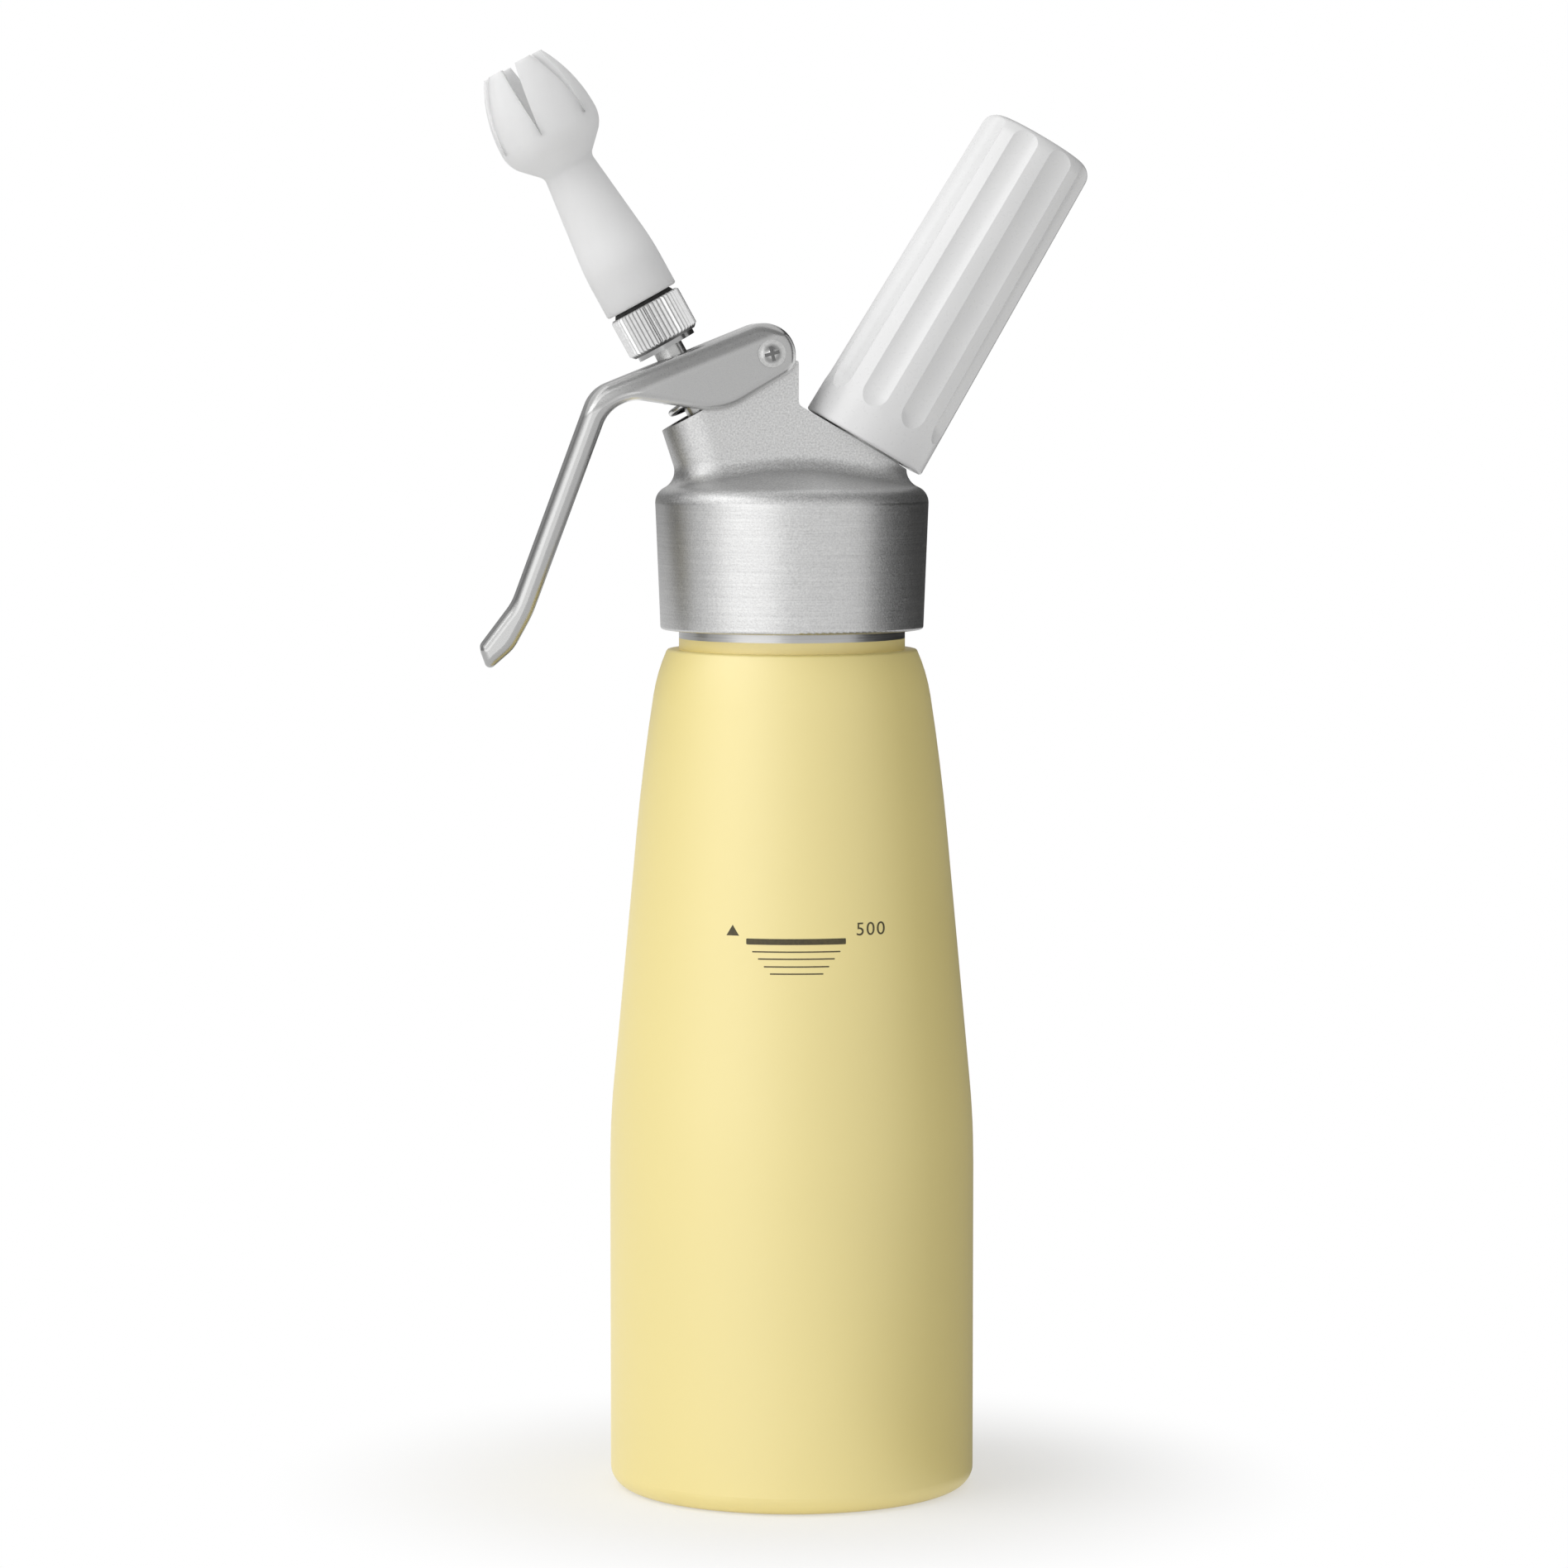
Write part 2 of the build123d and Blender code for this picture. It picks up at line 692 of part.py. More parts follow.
def make_lever():
    centre = Vector(pivot.X, pivot.Z)
    end, bend, flare, tip = lever_corners(0)
    low_flare = lever_corners(handle_depth)[2]
    apex, swell = lever_tip_corners()
    top_foot = centre + heading(lever_slope + 90) * lever_top_offset
    belly_reach = belly_share * lever_arm_length
    belly = top_foot + heading(lever_slope + 180) * belly_reach + heading(lever_slope - 90) * belly_depth
    belly_bend = meet(belly, 180 - belly_left_angle, low_flare, 90 - handle_angle)
    end_low = meet(belly, belly_right_angle, end, 90)
    end_height = end.Y - end_low.Y
    end_top_tan = math.tan(math.radians(45 - lever_slope / 2))
    end_low_tan = math.tan(math.radians(45 + belly_right_angle / 2))
    outline = FilletPolyline(
        end,
        bend,
        flare,
        tip,
        apex,
        swell,
        low_flare,
        belly_bend,
        belly,
        end_low,
        radius=[
            lever_end_top_share * end_height * end_top_tan,
            lever_bend_round,
            lever_flare_round,
            lever_tip_round,
            tip_apex_round,
            tip_swell_round,
            lever_flare_inner_round,
            lever_bend_round,
            belly_round,
            lever_end_low_share * end_height * end_low_tan,
        ],
        close=True,
    )
    blank = front_plate(outline, 2 * lever_half_width) & lever_plan(lever_half_width)
    blank = fillet([edge for edge in blank.edges() if is_lever_rim(edge)], lever_edge_round)
    pads = Part()
    pad_inner = clip_radius + lever_pad_clearance
    pad_length = lever_half_gap + lever_cheek / 2 - pad_inner
    pad_height = collar_top + lever_pad_gap + lever_pad_radius
    for side in (-1, 1):
        place = Pos(0, side * (pad_inner + pad_length / 2), pad_height) * Rot(90, 0, 0)
        pads += valve_frame.location * place * Cylinder(lever_pad_radius, pad_length)
    slot_shape = SlotCenterToCenter(lever_slot_run, 2 * (stem_radius + lever_slot_play))
    slot = extrude(Pos(lever_slot_run / 2, 0, collar_top) * slot_shape, amount=stem_top - collar_top)
    lever = blank - make_lever_pocket() + pads
    lever -= valve_frame.location * slot
    return lever - pivot_frame.location * Cylinder(pivot_radius + pivot_play, 3 * lever_half_width)


def is_lever_rim(edge):
    """Whether an edge runs along the lever's top, outer side or handle, where it is rounded."""
    middle = edge @ 0.5
    spot = Vector(middle.X, middle.Z)
    bend, flare, tip = lever_corners(0)[1:]
    low_flare = lever_corners(handle_depth)[2]
    if abs(middle.Y) < lever_edge_round:
        return False
    if middle.X > pivot.X:
        return middle.Z > pivot.Z - lug_stop_drop
    if abs((edge % 0.5).Z) > 1 - same_place:
        return False
    on_top = off_line(spot, bend, lever_slope) < lever_edge_round
    on_handle = off_line(spot, bend, 270 - handle_angle) < lever_edge_round
    on_flare = off_line(spot, flare, 270 - flare_angle) < lever_edge_round and spot.X < flare.X
    on_inside = off_line(spot, low_flare, 90 - handle_angle) < same_place and spot.X < bend.X
    end_slant = math.degrees(math.atan2(tip_apex_reach, tip_apex_depth))
    on_tip = off_line(spot, tip, 360 - flare_angle - end_slant) < lever_tip_round
    return on_top or on_handle or on_flare or on_inside or on_tip


def make_lever_pocket():
    """Hollow of the lever's channel: open below, and rounded about the lug at the pivot."""
    centre = Vector(pivot.X, pivot.Z)
    right = centre.X + 2 * lever_end_reach
    stop = centre.Y - lug_stop_drop + lever_stop_gap
    bend, flare, tip = lever_corners(lever_web)[1:]
    web_foot = centre + heading(lever_slope + 90) * (lever_top_offset - lever_web)
    tip_out = tip + heading(360 - flare_angle) * (2 * handle_depth)
    outline = FilletPolyline(
        (right, stop),
        (centre.X, stop),
        web_foot,
        bend,
        flare,
        tip,
        tip_out,
        (right, tip_out.Y),
        radius=[0, 0, 0, lever_bend_round - lever_web, lever_flare_round, lever_tip_round / 2, 0, 0],
        close=True,
    )
    channel = front_plate(outline, 2 * lever_half_width)
    channel = channel & lever_plan(lever_half_gap)
    return channel + pivot_frame.location * Cylinder(lug_radius + lug_play, 2 * lever_half_gap)


def make_pivot_barrel():
    """Sleeve nut through lug and lever, with its head behind."""
    face = lever_half_width + screw_head_gap
    barrel = rod(pivot_radius, -face, lever_half_width - barrel_setback)
    barrel += pan_head(-face, -1)
    barrel -= rod(screw_shank_radius + push_fit, face - screw_shank_length - screw_tip_room, face)
    slot = Box(2 * screw_head_radius, screw_cross_width, 2 * screw_slot_depth)
    return pivot_frame.location * (barrel - Pos(0, 0, -face - screw_head_height) * slot)


def pan_head(base, direction):
    """Low domed screw head about Z that grows from the base up (1) or down (-1)."""
    edge = base + direction * (screw_head_height - screw_dome)
    crown = base + direction * screw_head_height
    dome_radius = (screw_head_radius**2 + screw_dome**2) / (2 * screw_dome)
    rim = Polyline((0, base), (screw_head_radius, base), (screw_head_radius, edge))
    dome = RadiusArc((screw_head_radius, edge), (0, crown), direction * dome_radius)
    return turned(rim + dome + Line((0, crown), (0, base)))


def make_pivot_screw():
    face = lever_half_width + screw_head_gap
    screw = rod(screw_shank_radius, face - screw_shank_length, face) + pan_head(face, 1)
    slot = Box(2 * screw_head_radius, screw_cross_width, 2 * screw_slot_depth)
    bar = Box(screw_cross_length, screw_cross_width, 2 * screw_cross_depth)
    recess = Rot(0, 0, screw_cross_turn) * (slot + bar + Rot(0, 0, 90) * bar)
    return pivot_frame.location * (screw - Pos(0, 0, face + screw_head_height) * recess)


def make_nozzle_adapter():
    """Knurled nut with a socket for the stem below and a threaded spigot for the nozzle above."""
    spigot_top = adapter_top + adapter_spigot_length
    corners = []
    for number in range(2 * nut_ridges):
        radius = nut_radius - (number % 2) * nut_ridge_depth
        angle = math.pi * number / nut_ridges
        corners.append((radius * math.cos(angle), radius * math.sin(angle)))
    knurl_low = stem_top + nut_foot_height
    star = make_face(Polyline(*corners, close=True))
    knurl = extrude(Pos(0, 0, stem_top) * star, amount=nut_height)
    envelope = turned(
        Polyline(
            (0, stem_top),
            (nut_foot_radius, stem_top),
            (nut_foot_radius, knurl_low),
            (nut_radius - nut_chamfer, knurl_low),
            (nut_radius, knurl_low + nut_chamfer),
            (nut_radius, adapter_top - nut_ridge_depth),
            (nut_radius - nut_ridge_depth, adapter_top),
            (0, adapter_top),
            close=True,
        )
    )
    spigot = rod(adapter_spigot_radius, adapter_top - face_gap, spigot_top)
    spigot += thread_ridge(
        adapter_spigot_radius,
        nozzle_thread_depth,
        nozzle_thread_pitch,
        nozzle_thread_turns,
        washer_top + nozzle_thread_pitch,
    )
    socket_top = stem_top + stem_spigot_length + face_gap
    bore = rod(stem_spigot_radius + push_fit, stem_top, socket_top)
    bore += rod(stem_bore_radius, socket_top - face_gap, spigot_top)
    return valve_frame.location * ((knurl & envelope) + spigot - bore)


def make_nozzle_washer():
    inner = adapter_spigot_radius + nozzle_thread_depth + thread_play
    low = adapter_top + face_gap
    high = washer_top - face_gap
    section = Polyline(
        (inner, low),
        (washer_radius, low),
        (washer_top_radius, high),
        (inner, high),
        close=True,
    )
    return valve_frame.location * turned(section)


def bulb_line(inset):
    """Outline of the nozzle's bulb from the flare's start to the tip, moved inwards by the inset."""
    flare = math.radians(bulb_flare)
    widest = bulb_radius - inset
    bend = bulb_round - inset
    flare_end = Vector(widest - bend * (1 - math.cos(flare)), bulb_middle - bend * math.sin(flare))
    tip = Vector(tip_radius - inset, nozzle_length)
    side = TangentArc(flare_end, (widest, bulb_middle), tangent=(math.sin(flare), math.cos(flare)))
    closing = TangentArc((widest, bulb_middle), tip, tangent=(0, 1))
    return flare_end, tip, side + closing


def make_decorator_nozzle():
    """Tulip nozzle: threaded socket, tapering neck, hollow bulb and V notches at the tip."""
    socket_radius = adapter_spigot_radius + nozzle_thread_depth + thread_play
    socket_depth = adapter_spigot_length - washer_thickness + thread_play
    run = math.tan(math.radians(bulb_flare))
    outer_flare, outer_tip, outer_bulb = bulb_line(0)
    inner_flare, inner_tip, inner_bulb = bulb_line(nozzle_wall)
    waist = Vector(nozzle_waist_radius, outer_flare.Y - (outer_flare.X - nozzle_waist_radius) / run)
    throat = Vector(nozzle_bore_radius, inner_flare.Y - (inner_flare.X - nozzle_bore_radius) / run)
    socket_end = socket_depth + socket_radius - nozzle_bore_radius
    neck = FilletPolyline(
        (socket_radius, 0),
        (nozzle_base_radius, 0),
        (nozzle_base_radius, nozzle_base_length),
        waist,
        outer_flare,
        radius=[nozzle_base_round, nozzle_base_bend, nozzle_waist_round],
    )
    inside = Polyline(
        (socket_radius, 0),
        (socket_radius, socket_depth),
        (nozzle_bore_radius, socket_end),
        throat,
        inner_flare,
    )
    shell = turned(neck + outer_bulb + Line(outer_tip, inner_tip) + inner_bulb + inside)
    # The ridge runs in the middle of the spigot's groove, half a pitch above the spigot's own ridge.
    thread_start = nozzle_thread_pitch + nozzle_thread_pitch / 2
    ridge_turns = nozzle_thread_turns - 1
    shell += thread_ridge(
        socket_radius, -nozzle_thread_depth, nozzle_thread_pitch, ridge_turns, thread_start
    )
    notch_bottom = nozzle_length - notch_depth
    notch_mouth = notch_bottom + 2 * notch_depth
    wedge_face = Polyline(
        (0, notch_bottom), (notch_width, notch_mouth), (-notch_width, notch_mouth), close=True
    )
    wedge = extrude(Plane.YZ * make_face(wedge_face), amount=2 * bulb_radius)
    for number in range(notch_count):
        shell -= Rot(0, 0, notch_turn - 90 + 360 * number / notch_count) * wedge
    return valve_frame.location * Pos(0, 0, washer_top) * shell


def make_gas_charger():
    """Steel cartridge with a rounded base, pierced at the neck."""
    body_start = charger_neck_length + charger_shoulder_length
    base_start = charger_length - charger_radius
    inner_radius = charger_radius - charger_wall
    neck_inner = charger_neck_radius - charger_wall
    outside = FilletPolyline(
        (charger_hole_radius, 0),
        (charger_neck_radius, 0),
        (charger_neck_radius, charger_neck_length),
        (charger_radius, body_start),
        (charger_radius, base_start),
        radius=[charger_wall / 2, charger_wall, charger_shoulder_round],
    )
    outer_base = TangentArc((charger_radius, base_start), (0, charger_length), tangent=(0, 1))
    inside = FilletPolyline(
        (charger_hole_radius, 0),
        (charger_hole_radius, charger_tip_thickness),
        (neck_inner, charger_tip_thickness),
        (neck_inner, charger_neck_length),
        (inner_radius, body_start),
        (inner_radius, base_start),
        radius=[0, 0, charger_wall, charger_shoulder_round - charger_wall],
    )
    inner_end = (0, charger_length - charger_wall)
    inner_base = TangentArc((inner_radius, base_start), inner_end, tangent=(0, 1))
    shell = turned(outside + outer_base + inside + inner_base + Line(inner_end, (0, charger_length)))
    return charger_frame.location * Pos(0, 0, charger_tip) * shell


def make_charger_holder():
    """Fluted plastic sleeve, closed at the top, with a female thread at its mouth."""
    socket_radius = stud_core_radius + charger_thread_depth + thread_play
    socket_depth = stud_top - holder_base + holder_gap
    bore = charger_radius + charger_play
    bore_end = charger_tip + charger_length - charger_radius - holder_base
    outside = FilletPolyline(
        (socket_radius, 0),
        (holder_base_radius, 0),
        (holder_top_radius, holder_length),
        (0, holder_length),
        radius=[holder_base_round, holder_top_round],
    )
    inside = Polyline(
        (socket_radius, 0),
        (socket_radius, socket_depth),
        (bore, socket_depth + socket_radius - bore),
        (bore, bore_end),
    )
    vault = TangentArc((bore, bore_end), (0, bore_end + bore), tangent=(0, 1))
    shell = turned(outside + inside + vault + Line((0, bore_end + bore), (0, holder_length)))
    # The ridge runs in the middle of the stud's groove, half a pitch above the stud's own ridge.
    thread_start = charger_thread_pitch + charger_thread_pitch / 2 - holder_gap
    ridge_turns = charger_thread_turns - 1
    shell += thread_ridge(
        socket_radius, -charger_thread_depth, charger_thread_pitch, ridge_turns, thread_start
    )
    lean = math.degrees(math.atan2(holder_base_radius - holder_top_radius, holder_length))
    cutter_height = flute_start + flute_width / 2
    surface = holder_base_radius - cutter_height * math.tan(math.radians(lean))
    edge_depth = flute_depth - surface + math.sqrt(surface**2 - flute_width**2 / 4)
    cutter_radius = (flute_width**2 / 4 + edge_depth**2) / (2 * edge_depth)
    cutter = rod(cutter_radius, 0, holder_length) + Sphere(cutter_radius)
    place = Pos(surface + cutter_radius - flute_depth, 0, cutter_height) * Rot(0, -lean, 0)
    for number in range(flute_count):
        shell -= Rot(0, 0, flute_turn - 90 + 360 * number / flute_count) * place * cutter
    return charger_frame.location * Pos(0, 0, holder_base) * shell


def make_check_valve():
    low = stud_floor + face_gap
    return charger_frame.location * ring(check_valve_hole, carrier_radius, low, carrier_low - face_gap)


def make_pin_carrier():
    """Drilled insert: a socket for the pin, gas holes round it and a recess below."""
    blank = rod(carrier_radius, carrier_low, carrier_high)
    blank -= rod(pin_radius + push_fit, carrier_low + carrier_recess_depth + pin_seat, carrier_high)
    blank -= rod(charger_gasket_bore, carrier_low, carrier_low + carrier_recess_depth)
    hole = Pos(carrier_gas_ring, 0, 0) * rod(carrier_gas_hole, carrier_low, carrier_high)
    for number in range(carrier_gas_count):
        blank -= Rot(0, 0, 360 * number / carrier_gas_count) * hole
    return charger_frame.location * blank


def make_piercing_pin():
    low = carrier_low + carrier_recess_depth + pin_seat + face_gap
    tip = carrier_high + pin_reach
    section = Polyline(
        (0, low),
        (pin_radius, low),
        (pin_radius, tip - pin_point_length),
        (pin_tip_radius, tip),
        (0, tip),
        close=True,
    )
    return charger_frame.location * turned(section)


def make_charger_gasket():
    low = carrier_high + face_gap
    high = low + charger_gasket_thickness
    return charger_frame.location * ring(charger_gasket_bore, carrier_radius, low, high)


pieces = {
    "bottle": make_bottle(),
    "head_gasket": make_head_gasket(),
    "head_body": make_head_body(),
    "lever": make_lever(),
    "pivot_barrel": make_pivot_barrel(),
    "pivot_screw": make_pivot_screw(),
    "valve_stem": make_valve_stem(),
    "seat_oring": make_seat_oring(),
    "stem_oring": make_stem_oring(),
    "spring_collar": make_spring_collar(),
    "collar_clip": make_collar_clip(),
    "return_spring": make_return_spring(),
    "nozzle_adapter": make_nozzle_adapter(),
    "nozzle_washer": make_nozzle_washer(),
    "decorator_nozzle": make_decorator_nozzle(),
    "gas_charger": make_gas_charger(),
    "charger_holder": make_charger_holder(),
    "check_valve": make_check_valve(),
    "pin_carrier": make_pin_carrier(),
    "piercing_pin": make_piercing_pin(),
    "charger_gasket": make_charger_gasket(),
}
print("least gap between spring turns", round(spring_least_gap(), 2))
os.makedirs("parts", exist_ok=True)
for name, piece in pieces.items():
    export_step(piece, f"parts/{name}.step")
    print(name, piece.is_valid, round(piece.volume, 1), len(piece.solids()))
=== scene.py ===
# %% [markdown]
# # Dressing a cream whipper
# The solids of the whipper are already built at their real size. This lesson loads them, puts the
# camera where the photographer stood, lights a small studio and gives every piece its own finish.
# The few things that are only looks, such as the printed fill mark, are modelled here as well.

# %% Load the solids
import math
import bpy
from mathutils import Matrix, Vector


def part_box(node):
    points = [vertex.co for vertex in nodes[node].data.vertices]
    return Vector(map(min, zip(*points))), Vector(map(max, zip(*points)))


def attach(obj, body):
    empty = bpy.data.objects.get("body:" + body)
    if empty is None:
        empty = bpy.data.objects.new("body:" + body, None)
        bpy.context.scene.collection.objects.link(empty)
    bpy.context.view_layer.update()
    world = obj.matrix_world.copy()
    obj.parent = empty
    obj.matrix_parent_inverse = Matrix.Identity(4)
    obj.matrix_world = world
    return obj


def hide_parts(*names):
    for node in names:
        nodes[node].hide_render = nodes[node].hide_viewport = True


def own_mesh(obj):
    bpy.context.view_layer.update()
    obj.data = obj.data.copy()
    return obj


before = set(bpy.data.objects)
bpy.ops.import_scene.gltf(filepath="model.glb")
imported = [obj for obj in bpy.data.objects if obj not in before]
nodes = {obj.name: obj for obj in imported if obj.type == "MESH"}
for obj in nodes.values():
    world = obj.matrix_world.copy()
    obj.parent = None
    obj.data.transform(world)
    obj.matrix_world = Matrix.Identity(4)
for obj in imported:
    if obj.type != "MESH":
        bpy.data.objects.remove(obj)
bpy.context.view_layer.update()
MM = 0.001
bpy.ops.object.select_all(action="DESELECT")
print("solids loaded:", len(nodes))

# %% [markdown]
# ## The camera
# A product like this is photographed with a long lens from far away, so that the upright sides of the
# bottle stay nearly parallel. A short lens close by would fill the picture as well, but it would bend
# the outline. So the lens is 130 mm on a square 36 mm sensor. The camera stands a little to the left
# and looks slightly down, which shows the base as a shallow curve.

# %% Place the camera
EYE = Vector((-82.3, -1213.3, 247.0)) * MM
AIM = Vector((-1.7, 0.0, 152.0)) * MM
bpy.ops.object.camera_add(location=EYE)
camera = bpy.context.object
camera.name = "studio_camera"
camera.rotation_euler = (AIM - EYE).to_track_quat("-Z", "Y").to_euler()
camera.data.sensor_width = 36.0
camera.data.lens = 130.0
camera.data.clip_start = 0.05
camera.data.clip_end = 50.0
bpy.context.scene.camera = camera
print("camera distance in mm:", round((AIM - EYE).length / MM))

# %% [markdown]
# ## The light
# The painted bottle is palest on its left half and falls off to ochre on the right, and the metal skirt
# shows one broad bright band left of its middle. A sun lamp would draw that band with hard edges, so
# area lamps stand in for a studio's softboxes. The key is long and low at the left front. A second one
# hangs higher on the left and reaches the tops of the head and of the white pieces.

# %% Hang the softboxes
LAMP_AIM = Vector((0, 0, 160)) * MM


def softbox(name, azimuth, elevation, distance, width, height, watts):
    """Rectangular lamp round the whipper: azimuth 0 is at the front, positive to the right."""
    turn = math.radians(azimuth)
    rise = math.radians(elevation)
    away = Vector((math.sin(turn) * math.cos(rise), -math.cos(turn) * math.cos(rise), math.sin(rise)))
    bpy.ops.object.light_add(type="AREA", location=LAMP_AIM + away * distance)
    lamp = bpy.context.object
    lamp.name = name
    lamp.rotation_euler = (-away).to_track_quat("-Z", "Y").to_euler()
    lamp.data.shape = "RECTANGLE"
    lamp.data.size = width
    lamp.data.size_y = height
    lamp.data.energy = watts


softbox("key_softbox", azimuth=-40, elevation=4, distance=1.3, width=1.25, height=0.5, watts=2.45)
softbox("side_softbox", azimuth=-65, elevation=48, distance=1.2, width=0.9, height=0.8, watts=5.0)

# %% [markdown]
# ## Finishes are small node trees
# A finish could be painted as an image, but an image has a fixed grain and needs an unwrapped surface.
# Here each finish is a Principled shader with a few nodes in front of it, which stays sharp from near
# and far. The first helpers add a node with its inputs filled in, draw a wire, or do a sum.

# %% Helpers that add nodes
def start_finish(name):
    """New material with its Principled shader."""
    finish = bpy.data.materials.new(name)
    finish.use_nodes = True
    return finish, finish.node_tree.nodes["Principled BSDF"]


def feed(tree, value, socket):
    """Plain number, vector, colour or wire into a socket."""
    if isinstance(value, bpy.types.NodeSocket):
        tree.links.new(value, socket)
    else:
        socket.default_value = value


def fill_in(tree, node, **inputs):
    """Each named input of a node gets a plain value or a wire."""
    for key, value in inputs.items():
        feed(tree, value, node.inputs[key.replace("_", " ")])


def add_node(tree, kind, settings=None, **inputs):
    """Node of a kind, with its settings and its inputs filled in."""
    node = tree.nodes.new(kind)
    for key, value in (settings or {}).items():
        setattr(node, key, value)
    fill_in(tree, node, **inputs)
    return node


def calculate(tree, operation, first, second=0.0):
    """Math node on two values, each a socket or a plain number."""
    node = add_node(tree, "ShaderNodeMath", {"operation": operation})
    feed(tree, first, node.inputs[0])
    feed(tree, second, node.inputs[1])
    return node.outputs[0]


def vector_math(tree, operation, first, second=(0, 0, 0)):
    """Vector Math node on two vectors, each a socket or plain numbers."""
    node = add_node(tree, "ShaderNodeVectorMath", {"operation": operation})
    feed(tree, first, node.inputs[0])
    feed(tree, second, node.inputs[1])
    gives_number = operation in ("LENGTH", "DOT_PRODUCT")
    return node.outputs["Value" if gives_number else "Vector"]


print("helpers that add nodes are ready")

# %% [markdown]
# ## Patterns
# Every pattern reads Object coordinates, so that it moves with its piece. They are in metres: a noise
# scale of 1000 means about one feature per millimetre. Noise keeps close to 0.5, so these helpers take
# the part from 0.3 to 0.7 and stretch it to the range that a finish asks for.

# %% Helpers for patterns
NOISE_LOW = 0.3
NOISE_HIGH = 0.7
MICRON = 0.000001


def object_place(tree, scale=(1, 1, 1)):
    """Object coordinates, stretched by a scale along each axis."""
    place = add_node(tree, "ShaderNodeTexCoord").outputs["Object"]
    return add_node(tree, "ShaderNodeMapping", Vector=place, Scale=scale).outputs["Vector"]


def split_axes(tree, vector):
    """The three numbers of a vector, by the names X, Y and Z."""
    return add_node(tree, "ShaderNodeSeparateXYZ", Vector=vector).outputs


def grain(tree, vector, scale, detail=2.0, roughness=0.5):
    """Noise of a scale on given coordinates."""
    pattern = {"Vector": vector, "Scale": scale, "Detail": detail, "Roughness": roughness}
    return add_node(tree, "ShaderNodeTexNoise", **pattern).outputs["Fac"]


def spread(tree, value, low, high):
    """Noise turned into a range of values."""
    limits = {"From_Min": NOISE_LOW, "From_Max": NOISE_HIGH, "To_Min": low, "To_Max": high}
    return add_node(tree, "ShaderNodeMapRange", Value=value, **limits).outputs["Result"]


def grey(level):
    """Colour without a hue."""
    return (level, level, level)


def tint(tree, value, dark, light):
    """Colour between two colours, led by noise."""
    ramp = add_node(tree, "ShaderNodeValToRGB", Fac=value)
    low_end, high_end = ramp.color_ramp.elements
    low_end.position = NOISE_LOW
    low_end.color = (*dark, 1)
    high_end.position = NOISE_HIGH
    high_end.color = (*light, 1)
    return ramp.outputs["Color"]


def relief(tree, height, depth, under=None):
    """Bump of a height map, of a depth in metres, on top of another bump if one is given."""
    node = add_node(tree, "ShaderNodeBump", Strength=1.0, Distance=depth, Height=height)
    if under is not None:
        fill_in(tree, node, Normal=under)
    return node.outputs["Normal"]


print("noise is read from", NOISE_LOW, "to", NOISE_HIGH)

# %% [markdown]
# ## Blends
# One casting can be blasted here and turned there. It could be split into faces with several materials,
# but then the border has to follow the edges of the mesh. A share from zero to one, worked out from the
# place on the piece, blends two finishes within one material and can fade softly.

# %% Helpers for blends
VALUE_SOCKETS = (0, 2, 3)
COLOUR_SOCKETS = (0, 6, 7)


def mix_values(tree, share, first, second):
    """The first value where the share is zero, the second where it is one."""
    node = add_node(tree, "ShaderNodeMix", {"data_type": "FLOAT"})
    for socket, value in zip(VALUE_SOCKETS, (share, first, second)):
        feed(tree, value, node.inputs[socket])
    return node.outputs[0]


def mix_colours(tree, share, first, second):
    """The first colour where the share is zero, the second where it is one."""
    node = add_node(tree, "ShaderNodeMix", {"data_type": "RGBA"})
    for socket, value in zip(COLOUR_SOCKETS, (share, first, second)):
        feed(tree, value, node.inputs[socket])
    return node.outputs[2]


def fade_in(tree, value, start, end):
    """Zero before the start, one after the end, smooth between."""
    smooth = {"interpolation_type": "SMOOTHSTEP"}
    limits = {"From_Min": start, "From_Max": end}
    return add_node(tree, "ShaderNodeMapRange", smooth, Value=value, **limits).outputs["Result"]


def blend_shaders(tree, share, first, second, output):
    """Shader between two, wired to the tree's output node."""
    node = add_node(tree, "ShaderNodeMixShader")
    for socket, value in enumerate((share, first, second)):
        feed(tree, value, node.inputs[socket])
    fill_in(tree, tree.nodes[output], Surface=node.outputs["Shader"])


def dress(finish, *names):
    """The finish goes on these solids."""
    for name in names:
        nodes[name].data.materials.clear()
        nodes[name].data.materials.append(finish)
    print(finish.name, "on", ", ".join(names))


print("solids to dress:", ", ".join(sorted(nodes)))

# %% [markdown]
# ## Floor
# The photograph is cut out on white, with a faint shadow at the foot of the bottle. A floor of pure
# light would swallow that shadow, and a plain white floor would show a horizon. So the floor near the
# bottle is mostly a real white surface that takes the shadow. Further out it fades into plain white for
# the camera and for reflections.

# %% Lay the floor
SHADOW_NEAR = 45 * MM
SHADOW_FAR = 120 * MM
NEAR_SHARE = 0.45


def seen_directly(tree):
    """One for camera, glossy and transmission rays, zero for the light that falls on surfaces."""
    path = add_node(tree, "ShaderNodeLightPath").outputs
    seen = calculate(tree, "MAXIMUM", path["Is Camera Ray"], path["Is Glossy Ray"])
    return calculate(tree, "MAXIMUM", seen, path["Is Transmission Ray"])


